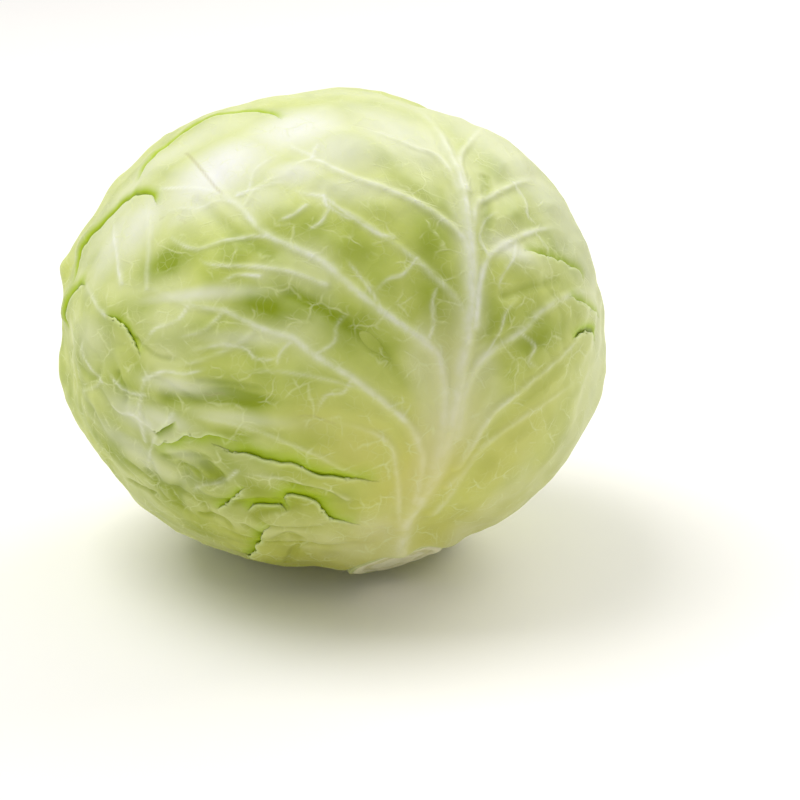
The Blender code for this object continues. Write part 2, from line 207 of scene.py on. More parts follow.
def place(directions, depth, raised=0.0):
    """Points this deep under the head's surface, and none lower than the surface that it lies on."""
    normals = unit(directions / SEMI_AXES)
    out = (swell(directions) - depth + raised)[:, None]
    points = (directions * SEMI_AXES + out * normals) @ TO_WORLD.T
    rest = FLOOR + depth
    blend = np.maximum(FLAT_ROUNDING - np.abs(points[:, 2] - rest), 0.0)
    points[:, 2] = np.maximum(points[:, 2], rest) + blend**2 / (4.0 * FLAT_ROUNDING)
    return points


def seen_at(pixels):
    """Directions on the head's round form that the photo shows at the given pixels."""
    pixels = np.atleast_2d(np.array(pixels, float))
    across = (pixels[:, :1] - PHOTO_MIDDLE[0]) / PIXELS_PER_MM
    up = (PHOTO_MIDDLE[1] - pixels[:, 1:]) / PIXELS_PER_MM
    eye = VIEW_BACK * CAMERA_DISTANCE / SEMI_AXES
    ray = (across * VIEW_RIGHT + up * VIEW_UP - VIEW_BACK * CAMERA_DISTANCE) / SEMI_AXES
    square = (ray**2).sum(axis=1)
    half = ray @ eye
    root = np.sqrt(np.maximum(half**2 - square * (eye @ eye - 1.0), 0.0))
    return unit(eye + ray * ((-half - root) / square)[:, None])


def smooth_line(points, step):
    """Points a step apart along a smooth curve through the given ones."""
    points = np.array(points, float)
    ends = np.vstack((2 * points[0] - points[1], points, 2 * points[-1] - points[-2]))
    found = []
    for a, b, c, d in zip(ends, ends[1:], ends[2:], ends[3:]):
        count = max(1, round(np.linalg.norm(c - b) / step))
        t = (np.arange(count) / count)[:, None]
        curve = 2 * b + (c - a) * t + (2 * a - 5 * b + 4 * c - d) * t**2 + (3 * b - a - 3 * c + d) * t**3
        found.append(curve / 2)
    return np.vstack(found + [points[-1:]])


class Waves:
    """Soft random relief: a sum of waves in all directions, about 1 high, the same on every run."""

    def __init__(self, seed, length, count=28, spread=0.35):
        draw = np.random.default_rng(seed)
        headings = unit(draw.normal(size=(count, 3)))
        lengths = length * np.exp(draw.normal(size=count) * spread)
        self.headings = headings * (2.0 * math.pi * HEAD_RADIUS / lengths)[:, None]
        self.phases = draw.uniform(0.0, 2.0 * math.pi, count)
        self.scale = math.sqrt(2.0 / count)

    def __call__(self, directions):
        found = np.zeros(len(directions))
        for heading, phase in zip(self.headings, self.phases):
            found += np.sin(directions @ heading + phase)
        return found * self.scale


# How far past a line's own reach its points are looked for, in degrees
REACH_MARGIN = 1.0
WIDEST_REACH = 179.0


class Line:
    """A smooth line on the head, with a place along it and a side for each point near it."""

    step = 0.5

    def __init__(self, directions):
        self.points = directions
        along = unit(np.gradient(directions, axis=0))
        self.along = along
        self.side = unit(np.cross(along, directions))
        self.run = np.linspace(0.0, 1.0, len(directions))
        self.middle = unit(directions.mean(axis=0))
        self.reach = np.degrees(np.arccos(np.clip((directions @ self.middle).min(), -1.0, 1.0)))

    def near(self, directions, room):
        """Points within room of the line: their numbers, place along it, signed distance, nearest sample."""
        limit = min(self.reach + room / MM_PER_DEGREE + REACH_MARGIN, WIDEST_REACH)
        numbers = np.flatnonzero(directions @ self.middle > math.cos(math.radians(limit)))
        nearest = (directions[numbers] @ self.points.T).argmax(axis=1)
        gap = (directions[numbers] - self.points[nearest]) * HEAD_RADIUS
        along = (gap * self.along[nearest]).sum(axis=1)
        across = (gap * self.side[nearest]).sum(axis=1)
        step = HEAD_RADIUS * np.linalg.norm(self.points[1] - self.points[0])
        beyond = np.maximum(np.abs(along) - step, 0.0)
        away = np.copysign(np.hypot(across, beyond), across)
        kept = np.abs(away) < room
        return numbers[kept], self.run[nearest][kept], away[kept], nearest[kept]


def seen_line(pixels):
    """Directions along the smooth line that the photo shows through the given pixels."""
    return unit(smooth_line(seen_at(pixels), Line.step / DEGREES_PER_RADIAN))


# Half width and height of a vein at its root and at its tip
MIDRIB = (9.0, 3.0, 2.3, 0.9)
MAIN_VEIN = (4.4, 2.4, 1.15, 0.5)
LATERAL = (3.4, 1.9, 0.85, 0.35)
SIDE_VEIN = (2.1, 1.4, 0.5, 0.25)
TWIG = (1.5, 1.2, 0.28, 0.16)
VEIN_TIP_FADE = 0.3
TIP_PALING = 0.35
CORE_SHARE = 0.75
CORE_WIDTH = 0.38
GLOW_WIDTH = 0.85
GLOW_REACH = 1.5


class Vein(Line):
    """A raised line on a blade, which narrows from its root to its tip."""

    def __init__(self, directions, size, strength=1.0):
        super().__init__(directions)
        self.size = size
        self.strength = strength

    def relief(self, directions):
        """The numbers of the points on the vein, its height there and how strongly it shows."""
        numbers, run, away, _ = self.near(directions, GLOW_REACH * max(self.size[:2]))
        half_width = self.size[0] + (self.size[1] - self.size[0]) * np.sqrt(run)
        across = np.minimum(np.abs(away) / half_width, 1.0)
        ridge = 0.5 + 0.5 * np.cos(math.pi * across)
        fade = smooth_step((1.0 - run) / VEIN_TIP_FADE)
        height = (self.size[2] + (self.size[3] - self.size[2]) * run) * fade * ridge
        show = CORE_SHARE * bell(np.abs(away) / half_width / CORE_WIDTH)
        show += (1.0 - CORE_SHARE) * bell(np.abs(away) / half_width / GLOW_WIDTH)
        return numbers, height, self.strength * (1.0 - TIP_PALING * run) * fade * show


# Where the front leaf's own veins show, in the photo's pixels, from root to tip
FRONT_VEINS = (
    (MIDRIB, 1.0, (
        (404, 590), (402, 560), (410, 530), (424, 505), (437, 485), (447, 460), (457, 430), (464, 400),
        (469, 370), (474, 340), (478, 300), (478, 275), (477, 250), (474, 225), (470, 200), (463, 175),
        (455, 155), (445, 135), (430, 115), (410, 100), (390, 92))),
    (MAIN_VEIN, 0.9, (
        (400, 565), (411, 530), (424, 492), (428, 464), (419, 437), (396, 414), (358, 385), (320, 362),
        (300, 346), (264, 334), (229, 317), (193, 310), (157, 294), (121, 284))),
    (MAIN_VEIN, 0.9, (
        (440, 470), (449, 440), (452, 400), (446, 366), (434, 350), (391, 319), (358, 293), (330, 268),
        (300, 253), (268, 237), (246, 212), (220, 191), (202, 169), (186, 155))),
    (LATERAL, 0.7, (
        (400, 560), (404, 530), (404, 502), (402, 479), (396, 452), (368, 437), (320, 425))),
    (LATERAL, 0.55, ((474, 225), (448, 163), (417, 147), (376, 130), (345, 122))),
    (LATERAL, 0.75, ((478, 262), (467, 239), (428, 210), (395, 195), (356, 180), (330, 167), (300, 152))),
    (LATERAL, 0.55, ((477, 330), (465, 306), (423, 265), (393, 243), (362, 222), (330, 206), (300, 190))),
    (LATERAL, 0.6, ((472, 190), (465, 161), (473, 143), (484, 130))),
    (LATERAL, 0.6, ((478, 250), (482, 210), (497, 198), (521, 184), (540, 178))),
    (LATERAL, 1.0, ((482, 330), (487, 290), (494, 266), (504, 253), (524, 241), (543, 232), (568, 226))),
    (MAIN_VEIN, 0.6, ((462, 440), (474, 392), (492, 363), (528, 337), (553, 312), (583, 295), (604, 297))),
    (LATERAL, 0.5, ((466, 470), (497, 424), (528, 397), (553, 375), (577, 351), (595, 322))),
    (LATERAL, 0.4, ((440, 520), (480, 462), (520, 430), (556, 405), (590, 376))),
    (LATERAL, 0.35, ((455, 490), (494, 450), (530, 424), (566, 402))),
    (SIDE_VEIN, 0.8, ((300, 253), (268, 241), (232, 245), (196, 253), (164, 234))),
    (SIDE_VEIN, 0.7, ((330, 290), (300, 279), (264, 273), (232, 272), (211, 269), (198, 259))),
    (SIDE_VEIN, 1.0, ((121, 284), (116, 250), (112, 215))),
    (SIDE_VEIN, 0.5, ((150, 290), (150, 235), (147, 203))),
    (SIDE_VEIN, 0.6, ((146, 445), (143, 410), (148, 385), (150, 365))),
    (SIDE_VEIN, 0.5, ((229, 351), (216, 353), (191, 357))),
    (SIDE_VEIN, 0.4, ((102, 384), (95, 391), (80, 395))),
    (SIDE_VEIN, 0.7, ((109, 318), (100, 308), (92, 296), (84, 284))),
    (SIDE_VEIN, 0.35, ((380, 400), (330, 386), (280, 378), (230, 380))),
    (SIDE_VEIN, 0.4, ((246, 212), (262, 190), (290, 178))),
    (SIDE_VEIN, 0.4, ((229, 317), (210, 335), (180, 345))),
    (SIDE_VEIN, 0.35, ((264, 334), (240, 352), (200, 368), (170, 372))),
    (SIDE_VEIN, 0.35, ((360, 480), (320, 461), (270, 440), (215, 425), (175, 421))),
    (SIDE_VEIN, 0.35, ((350, 505), (318, 494), (282, 487), (240, 478))),
    (TWIG, 0.9, ((222, 195), (210, 192), (190, 190), (170, 190), (150, 193))),
    (TWIG, 0.7, ((246, 212), (227, 203), (200, 210), (160, 213))),
    (TWIG, 0.8, ((263, 282), (250, 281), (240, 282), (225, 290))),
    (TWIG, 0.9, ((243, 197), (267, 190), (280, 187), (293, 185))),
    (TWIG, 0.7, ((253, 192), (260, 173), (287, 153))),
    (SIDE_VEIN, 0.9, ((363, 183), (337, 170), (323, 163), (310, 163), (293, 173))),
    (TWIG, 0.9, ((317, 158), (305, 152), (290, 145))),
    (TWIG, 0.8, ((317, 158), (323, 145))),
    (SIDE_VEIN, 0.8, ((397, 242), (383, 238), (350, 217), (330, 202), (310, 197), (290, 190))),
    (TWIG, 0.9, ((310, 212), (300, 220), (283, 227))),
    (TWIG, 0.9, ((330, 202), (333, 210), (350, 221), (363, 227))),
    (TWIG, 0.8, ((333, 217), (327, 227), (313, 237))),
    (TWIG, 0.8, ((150, 430), (136, 420), (122, 418), (108, 405))),
    (TWIG, 0.8, ((145, 400), (128, 396), (116, 385), (108, 372))),
    (TWIG, 0.8, ((148, 385), (166, 378), (190, 380), (214, 374))),
    (TWIG, 0.7, ((229, 351), (250, 356), (262, 366), (290, 366))),
    (TWIG, 0.7, ((391, 319), (380, 300), (362, 276), (350, 262))),
    (TWIG, 0.7, ((423, 265), (410, 280), (394, 286), (380, 300))),
    (TWIG, 0.7, ((434, 350), (442, 330), (440, 306), (450, 284))),
    (TWIG, 0.6, ((528, 337), (540, 350), (536, 366), (548, 376))),
    (TWIG, 0.7, ((524, 241), (520, 262), (508, 284), (510, 300))),
    (TWIG, 0.7, ((543, 232), (552, 246), (560, 270))),
    (TWIG, 0.7, ((492, 363), (506, 340), (512, 318), (528, 300))),
    (TWIG, 0.7, ((521, 184), (532, 200), (536, 216), (548, 226))),
    (TWIG, 0.6, ((358, 385), (350, 400), (332, 404), (320, 425))),
    (TWIG, 0.6, ((300, 346), (286, 360), (282, 378))),
    (TWIG, 0.6, ((193, 310), (182, 326), (160, 334), (146, 350))),
    (TWIG, 0.6, ((320, 362), (340, 350), (344, 332), (358, 316))),
    (TWIG, 0.7, ((102, 384), (92, 372), (84, 356), (86, 340))),
    (TWIG, 0.6, ((175, 421), (160, 440), (150, 462), (152, 480))),
    (TWIG, 0.6, ((240, 478), (226, 488), (206, 490), (190, 502))),
    (TWIG, 0.6, ((496, 259), (488, 240), (494, 222), (507, 212))),
)

# Where the front leaf is slit or folded over itself: the lift of the upper side, the depth and the width of
# the lower side's hollow, the overlap, the height of the bank beyond the hollow, and the line in the photo's
# pixels. Going along the line, the left side lies on top.
SLITS = (
    (0.2, 2.0, 1.6, 0.6, 0.6, (
        (285, 119), (275, 115), (262, 113), (240, 116), (215, 122), (190, 130), (175, 139), (160, 153),
        (147, 167), (138, 182))),
    (0.2, 2.2, 1.7, 0.6, 0.8, (
        (158, 207), (154, 200), (148, 197), (140, 197), (130, 199), (115, 210), (100, 225), (88, 241),
        (79, 258), (74, 274), (72, 286))),
    (0.3, 1.2, 2.0, 0.6, 0.8, ((85, 287), (79, 289), (73, 296), (68, 306), (65, 320), (64, 332))),
    (0.4, 0.8, 1.9, 0.2, 0.0, (
        (143, 363), (138, 354), (134, 345), (129, 335), (123, 328), (115, 323), (109, 318))),
    (0.4, 0.8, 3.0, 0.5, 0.0, (
        (152, 449), (158, 449), (170, 446), (184, 443), (197, 440), (212, 440), (229, 443), (246, 450))),
    (0.25, 0.95, 4.2, 0.4, 0.0, (
        (386, 489), (362, 488), (340, 486), (319, 481), (300, 474), (286, 469), (272, 469), (261, 467),
        (250, 462), (240, 461), (231, 456), (222, 452), (212, 449))),
    (0.3, 0.8, 2.2, 0.2, 0.0, ((249, 493), (243, 499), (234, 506), (226, 511), (218, 515))),
    (0.25, 0.8, 3.0, 0.2, 0.0, ((291, 520), (283, 515), (270, 513), (258, 513), (250, 517))),
    (0.3, 1.0, 4.0, 0.4, 0.0, (
        (366, 531), (352, 531), (338, 529), (328, 522), (318, 513), (307, 508), (296, 504), (289, 506),
        (290, 513), (294, 520))),
    (0.5, 1.0, 3.0, 0.3, 0.0, ((276, 529), (270, 534), (265, 541), (261, 549), (255, 556), (245, 560))),
    (0.8, 1.1, 2.0, 0.3, 0.0, ((155, 437), (163, 434), (171, 430), (179, 427))),
    (0.2, 0.9, 1.8, 0.3, 0.4, ((590, 284), (584, 270), (567, 262), (548, 259), (530, 252))),
    (0.3, 0.8, 1.8, 0.3, 0.4, ((604, 320), (594, 310), (582, 303), (574, 300))),
    (0.3, 1.0, 2.2, 0.4, 0.6, ((601, 344), (596, 337), (588, 337), (578, 344))),
)
SLIT_END_FADE = 0.26
SLIT_WOBBLE = 0.4
WOBBLE_RISE = 8.0
# Painted shade in a slit's gap: how wide it is against the hollow, the bank past which it is darker, and how
# much
GAP_SHADE_WIDTH = 1.15
DEEP_SHADE_BANK = 0.5
DEEP_SHADE_BOOST = 2.0
LIP_WIDTH = 7.0
BANK_PLACE = 4.5
# Painted highlight along the margins and the slits' lips: its width and strength
RIM_HIGHLIGHT_WIDTH = 0.9
RIM_HIGHLIGHT_STRENGTH = 0.8
SUNK_SPREAD = 9.0
SUNK_ROOM = 0.4
SUNK_SAMPLES = 4

# How many of its widths away a mark is still worked out
MARK_REACH = 3.0

# Soft furrows, with painted shade in them: half width, depth and line in the photo's pixels
FURROWS = (
    (5.0, 0.9, ((173, 404), (201, 404), (229, 403), (255, 410), (300, 410))),
    (3.0, 1.0, ((213, 471), (222, 481), (229, 492))),
    (3.5, 0.7, ((492, 180), (494, 230), (492, 262))),
    (4.0, 0.7, ((300, 300), (345, 325), (395, 365), (425, 400))),
    (4.0, 0.6, ((200, 205), (232, 232), (262, 252), (300, 268))),
    (3.0, 0.9, ((300, 545), (290, 540), (276, 545))),
    (4.0, 0.9, ((190, 480), (178, 500), (188, 520))),
    (3.5, 0.7, ((515, 300), (540, 290), (570, 280))),
    (2.0, 0.8, ((150, 476), (158, 482), (160, 491))),
    (2.0, 0.9, ((130, 486), (145, 495), (162, 500))),
    (2.0, 0.8, ((186, 470), (200, 474), (210, 487))),
    (2.2, 0.9, ((205, 520), (225, 524), (240, 537))),
    (2.0, 0.8, ((250, 531), (259, 536), (268, 546))),
    (2.4, 0.9, ((288, 566), (296, 556), (308, 550), (322, 553))),
    (2.2, 0.7, ((300, 496), (322, 498), (350, 508))),
    (2.2, 0.7, ((168, 462), (196, 459), (226, 468))),
    (2.0, 0.6, ((120, 380), (128, 396), (126, 414))),
    (2.2, 0.6, ((205, 388), (240, 392), (280, 398))),
    (2.0, 0.6, ((140, 345), (160, 362), (186, 366))),
)

# Thin brownish scratches and creases, some of them painted shadow lines: strength and line in the photo's
# pixels
CREASES = (
    (0.7, ((176, 157), (184, 154), (190, 156), (202, 169), (220, 191), (234, 203))),
    (0.5, ((345, 121), (376, 129), (417, 146), (446, 161))),
    (0.5, ((82, 398), (86, 412), (92, 428), (105, 450))),
    (0.6, ((203, 398), (212, 404), (222, 402), (232, 404))),
    (0.5, ((296, 424), (318, 424), (334, 430), (350, 434))),
    (0.5, ((158, 222), (163, 219), (166, 216))),
    (0.5, ((181, 222), (186, 224), (190, 228))),
)
CREASE_WIDTH = 1.0
CREASE_DEPTH = 0.2
CREASE_RISE = 6.0

# Small places that stand out: place in the photo, spread and height
BUMPS = (
    ((65, 270), 3.0, 2.4), ((604, 297), 2.6, 1.2), ((255, 556), 6.0, 1.2), ((498, 140), 8.0, 2.2),
    ((225, 107), 9.0, -1.3), ((118, 188), 8.0, -1.3), ((200, 112), 8.0, -1.2), ((62, 345), 7.0, -2.0),
    ((64, 378), 6.0, -1.6), ((430, 104), 6.0, -1.3), ((320, 88), 10.0, -0.9),
)

# Where the blade is crumpled: place and half sizes in the photo's pixels, and strength
CRUMPLED = (
    (235, 500, 90, 46, 1.0), (120, 440, 46, 60, 0.6), (200, 410, 80, 26, 0.55), (545, 330, 44, 60, 0.4),
    (300, 545, 60, 24, 0.8), (110, 350, 40, 50, 0.4),
)
CRUMPLE_DEPTH = 1.2
CRUMPLE_LINE = 0.55
CRUMPLE_STRETCH = 0.3
CRUMPLE_GRAIN = ((152, 440), (386, 489))
# How strongly the crumple valleys get painted shade
VALLEY_SHADE = 0.9

# Patches of colour on the front leaf: place and half sizes in the photo's pixels, and strength
# Greener cells, and painted shade in creases and crumples
LIME_AND_SHADE_PATCHES = (
    (165, 268, 34, 18, 0.9), (282, 243, 55, 26, 0.55), (283, 312, 60, 26, 0.75), (352, 330, 40, 30, 0.5),
    (440, 235, 26, 50, 0.6), (445, 300, 22, 45, 0.7), (500, 320, 20, 40, 0.5), (130, 312, 30, 16, 0.5),
    (110, 360, 26, 40, 0.35), (238, 404, 50, 9, 0.7), (235, 440, 25, 8, 0.8), (262, 512, 25, 8, 0.7),
    (215, 540, 60, 30, 0.5), (300, 555, 40, 14, 0.6), (170, 510, 40, 30, 0.4), (540, 345, 34, 30, 0.4),
    (570, 250, 28, 30, 0.5), (520, 215, 24, 14, 0.35), (545, 200, 30, 26, 0.4), (395, 160, 50, 12, 0.3),
    (330, 230, 40, 10, 0.4), (265, 500, 90, 40, 0.6), (275, 505, 60, 24, 0.7), (195, 490, 50, 26, 0.3),
    (235, 448, 34, 9, 0.5), (350, 250, 40, 40, 0.35), (275, 400, 70, 30, 0.25), (225, 350, 60, 26, 0.25),
    (370, 340, 40, 60, 0.25),
)
# Painted highlight
HIGHLIGHT_PATCHES = (
    (300, 128, 60, 26, 0.9), (222, 172, 50, 34, 1.0), (340, 150, 60, 30, 0.6), (300, 175, 40, 16, 0.7),
    (140, 225, 26, 34, 0.7), (115, 240, 22, 36, 0.6), (190, 215, 30, 14, 0.5), (200, 300, 60, 8, 0.6),
    (430, 140, 30, 30, 0.5), (520, 252, 24, 14, 0.6), (180, 392, 36, 10, 0.5), (165, 424, 30, 10, 0.5),
    (240, 425, 50, 7, 0.35), (90, 340, 22, 30, 0.3), (255, 345, 60, 10, 0.35), (400, 130, 60, 34, 0.6),
    (350, 190, 60, 18, 0.45), (260, 200, 40, 20, 0.45), (520, 160, 26, 24, 0.45), (475, 250, 12, 90, 0.35),
    (555, 210, 16, 40, 0.3), (180, 150, 50, 16, 0.5), (120, 205, 24, 30, 0.45), (170, 205, 40, 24, 0.5),
    (145, 425, 34, 16, 0.5), (140, 460, 30, 12, 0.4), (175, 455, 26, 8, 0.35),
)
YELLOW_PATCHES = (
    (430, 480, 60, 70, 0.9), (370, 460, 60, 50, 0.6), (455, 380, 40, 60, 0.45), (390, 540, 60, 40, 0.8),
    (500, 470, 50, 50, 0.5), (330, 430, 50, 30, 0.4),
)

# The front leaf's outline on its own map
FRONT_EDGE = (
    (90, -8), (91, 5), (88, 20), (80, 42), (63, 62), (45, 75), (28, 80), (12, 79), (0, 77), (-14, 78),
    (-30, 79), (-44, 74), (-56, 65), (-66, 54), (-78, 44), (-85, 31), (-91, 18), (-95, 4), (-97, -12),
    (-92, -34), (-80, -52), (-64, -66), (-50, -74), (-30, -78), (-12, -78), (0, -76), (14, -78), (36, -78),
    (60, -64), (78, -46), (87, -26),
)

# The leaves under it, from the outside in: name, half width, reach towards the top of the head and place of
# a tear
INNER_LEAVES = (
    ("leaf_rear_right", 69.0, 76.0, 150.0),
    ("leaf_left", 67.0, 80.0, 20.0),
    ("leaf_right", 74.0, 88.0, 118.0),
    ("leaf_rear", 72.0, 96.0, 66.0),
    ("leaf_front_left", 72.0, 112.0, 105.0),
)
BASE_REACH = 75.0
SQUARENESS = 2.3
WAVES = ((7, 1.6), (12, 1.1), (19, 0.7), (31, 0.45), (53, 0.3))
WAVES_AT_TOP = 0.6
TEAR_DEPTH = 11.0
TEAR_HALF_WIDTH = 6.0
LEAF_SEED = 40
LATERAL_STARTS = (0.22, 0.33, 0.44, 0.55, 0.66, 0.76, 0.86)
LATERAL_REACH = 1.1
LATERAL_TAPER = 0.6
LATERAL_RISE = 26.0
LATERAL_BEND = 20.0
LATERAL_POINTS = 7
LATERAL_WANDER = 0.9
LATERAL_STRENGTHS = (0.6, 0.9)
START_SCATTER = 0.03
TWIG_SPACING = 4.0
TWIG_STEP = 3
TWIG_ENDS = 2
TWIG_POINTS = 4
TWIG_LENGTHS = (9.0, 16.0)
TWIG_SLANT = (0.55, 0.8)
TWIG_WANDER = 0.7
TWIG_STRENGTHS = (0.35, 0.6)
RIB_POINTS = 9
RIB_BEND = 9.0
RIB_START = 10.0
RIB_REACH = 0.9
CURL = 1.3
CURL_SPREAD = 30.0
LIFT_FADE = 9.0
RIM_CURL = 0.7
RIM_CURL_WIDTH = 3.0

# The blade's swell between its veins
PUFF = 0.8
PUFF_MEAN = 0.75
PUFF_SWAY = 0.5
PUFF_ROOM = 9.0
BUCKLE_HEIGHT = 0.3
RIPPLE_HEIGHT = 0.08
MEAN_RELIEF = 1.5

# How lime, white and yellow the blades are where no patch says so
MOTTLE_MEAN = 0.5
MOTTLE_SHARE = 0.35
MOTTLE_BUCKLE = 0.2
MOTTLE_LIMIT = 1.2
OPEN_LIME = 0.35
# Painted shade: lime under covering leaves and in furrows and crumple valleys
COVERED_SHADE_LIME = 0.35
FURROW_SHADE_LIME = 0.5
LIME_HIDDEN = 0.7
WHITE_SHARE = 0.25
STEM_YELLOW = 0.75
STEM_YELLOW_SPREAD = 38.0

# Soft random relief, each with its seed and the length of its waves
SWAY = Waves(3, 46.0)
BUCKLE = Waves(5, 24.0)
RIPPLE = Waves(7, 9.0)
MOTTLE = Waves(11, 17.0)
PALENESS = Waves(13, 60.0)
JITTER = Waves(17, 6.0)
WRINKLE = Waves(23, 15.0)
GRAIN_START, GRAIN_END = seen_at(CRUMPLE_GRAIN)
GRAIN_HEADING = unit(GRAIN_END - GRAIN_START)


class Slit(Line):
    """A line along which the blade is cut, its left side drawn over its right."""

    def __init__(self, directions, lift, tuck, width, overlap, bank):
        super().__init__(directions)
        fade = smooth_step(np.minimum(self.run, 1.0 - self.run) * WOBBLE_RISE)
        wobble = SLIT_WOBBLE * JITTER(directions) * fade
        super().__init__(unit(directions + self.side * wobble[:, None] / HEAD_RADIUS))
        self.lift = lift
        self.tuck = tuck
        self.width = width
        self.overlap = overlap
        self.bank = bank


def bearing(points):
    """Degrees round the middle of a map, from its right side."""
    return np.degrees(np.arctan2(points[:, 1], points[:, 0])) % 360


class Leaf:
    """One wrapper leaf: its place on the head, its outline, its veins and the leaves that cover it."""

    def __init__(self, name, number, covers):
        self.name = name
        self.number = number
        self.covers = list(covers)
        turn = math.radians(FIRST_TURN + SPIRAL_STEP * number)
        drop = math.radians(DROP)
        outward = math.cos(turn) * FRONT + math.sin(turn) * RIGHT
        self.centre = math.cos(drop) * STEM + math.sin(drop) * outward
        self.up = math.cos(drop) * outward - math.sin(drop) * STEM
        self.across = np.cross(self.up, self.centre)
        self.veins = []
        self.slits = []
        self.furrows = []
        self.lifts = ()

    def to_map(self, directions):
        """Where directions from the head's middle lie on this leaf's map."""
        x, y, z = directions @ self.across, directions @ self.up, directions @ self.centre
        flat = np.maximum(np.hypot(x, y), TINY)
        reach = np.degrees(np.arctan2(flat, z))
        return np.column_stack((x, y)) * (reach / flat)[:, None]

    def from_map(self, points):
        """The directions of points on this leaf's map."""
        points = np.array(points, float)
        reach = np.maximum(np.hypot(points[:, 0], points[:, 1]), TINY)
        flat = points * (np.sin(np.radians(reach)) / reach)[:, None]
        return (
            flat[:, :1] * self.across
            + flat[:, 1:] * self.up
            + np.cos(np.radians(reach))[:, None] * self.centre
        )

    def set_edge(self, points):
        """Keeps the outline off the stem, and works out how far the blade reaches each way on its map."""
        edge = self.from_map(smooth_line(list(points) + [points[0]], EDGE_STEP)[:-1])
        off = unit(edge - (edge @ STEM)[:, None] * STEM)
        ring = math.cos(math.radians(LEAF_RING)) * STEM + math.sin(math.radians(LEAF_RING)) * off
        edge = np.where((arc(edge, STEM) < LEAF_RING)[:, None], ring, edge)
        fine = self.to_map(edge)
        angle = bearing(fine)
        order = np.argsort(angle)
        self.angles = np.arange(0.0, 360.0, 1.0 / EDGE_SAMPLES)
        sharp = np.interp(self.angles, angle[order], np.hypot(*fine.T)[order], period=360)
        self.sharp = np.mean([np.roll(sharp, shift) for shift in (-1, 0, 1)], axis=0)
        shifts = range(-2 * SOFT_SPREAD, 2 * SOFT_SPREAD + 1)
        weights = {shift: math.exp(-((shift / SOFT_SPREAD) ** 2)) for shift in shifts}
        total = sum(weights.values())
        self.soft = sum(np.roll(self.sharp, shift) * weight / total for shift, weight in weights.items())
        reach = self.sharp[::EDGE_SAMPLES]
        window = range(-ENVELOPE_HALF_WINDOW, ENVELOPE_HALF_WINDOW + 1)
        widest = np.max([np.roll(reach, shift) for shift in window], axis=0)
        self.envelope = np.mean([np.roll(widest, shift) for shift in window], axis=0)

    def spread_on_map(self, square):
        """Places on the map for the points of a square from -1 to 1."""
        disc = square * np.sqrt(1.0 - square[:, ::-1] ** 2 / 2.0)
        rho = np.hypot(disc[:, 0], disc[:, 1])
        disc = disc * (CENTRE_FINENESS + (1.0 - CENTRE_FINENESS) * rho**2)[:, None]
        rho = np.hypot(disc[:, 0], disc[:, 1])
        angle = bearing(disc)
        soft = np.interp(angle, self.angles, self.soft, period=360)
        sharp = np.interp(angle, self.angles, self.sharp, period=360)
        return disc * (soft + (sharp - soft) * rho**SHARP_POWER)[:, None]

    def edge_gap(self, points):
        """Degrees from map points in to the outline, along their own heading."""
        reach = np.interp(bearing(points), self.angles, self.sharp, period=360)
        return reach - np.hypot(points[:, 0], points[:, 1])

    def cover(self, directions):
        """1 under this leaf, falling to 0 past its edge."""
        points = self.to_map(directions)
        limit = np.interp(bearing(points), np.arange(360), self.envelope, period=360)
        return 1.0 - smooth_step((np.hypot(*points.T) - limit) / COVER_FADE)

    def sunk(self, directions):
        """How far the layers under this leaf's slits are pressed in."""
        found = np.zeros(len(directions))
        for slit in self.slits:
            away = arc(directions, slit.points[::SUNK_SAMPLES]) * MM_PER_DEGREE
            found = np.maximum(found, (slit.tuck + SUNK_ROOM) * bell(away / SUNK_SPREAD))
        return found

    def depth(self, directions):
        """How deep this leaf lies under the head's surface."""
        found = np.zeros(len(directions))
        for leaf in self.covers:
            found += (BLADE + GAP) * leaf.cover(directions)
            if leaf.slits:
                found += leaf.sunk(directions)
        return found + UNDER_ROOM * (1.0 - self.bare(directions))

    def bare(self, directions):
        """1 where nothing covers this leaf."""
        found = np.ones(len(directions))
        for leaf in self.covers:
            found *= 1.0 - leaf.cover(directions)
        return found


def front_leaf():
    """The outermost leaf, with the veins, slits and furrows that the photo shows on it."""
    leaf = Leaf("leaf_front", 0, [])
    leaf.set_edge(FRONT_EDGE)
    leaf.veins = [Vein(seen_line(pixels), size, strength) for size, strength, pixels in FRONT_VEINS]
    leaf.slits = [Slit(seen_line(pixels), *sizes) for *sizes, pixels in SLITS]
    for width, depth, pixels in FURROWS:
        leaf.furrows.append(Vein(seen_line(pixels), (width, width, depth, depth)))
    return leaf


def inner_edge(half_width, reach, tear, number):
    """A broad round blade with a waved margin and one tear."""
    angles = np.arange(0, 360, 1.0)
    across, up = np.cos(np.radians(angles)), np.sin(np.radians(angles))
    tall = np.where(up > 0, reach, BASE_REACH)
    wide = (np.abs(across) / half_width) ** SQUARENESS
    radius = (wide + (np.abs(up) / tall) ** SQUARENESS) ** (-1 / SQUARENESS)
    for waves, size in WAVES:
        radius += size * (1.0 + WAVES_AT_TOP * up) * np.sin(np.radians(waves * angles) + number * waves)
    away = np.abs((angles - tear + 180) % 360 - 180)
    radius -= TEAR_DEPTH * np.maximum(0.0, 1.0 - away / TEAR_HALF_WIDTH)
    return np.column_stack((across * radius, up * radius)).tolist()


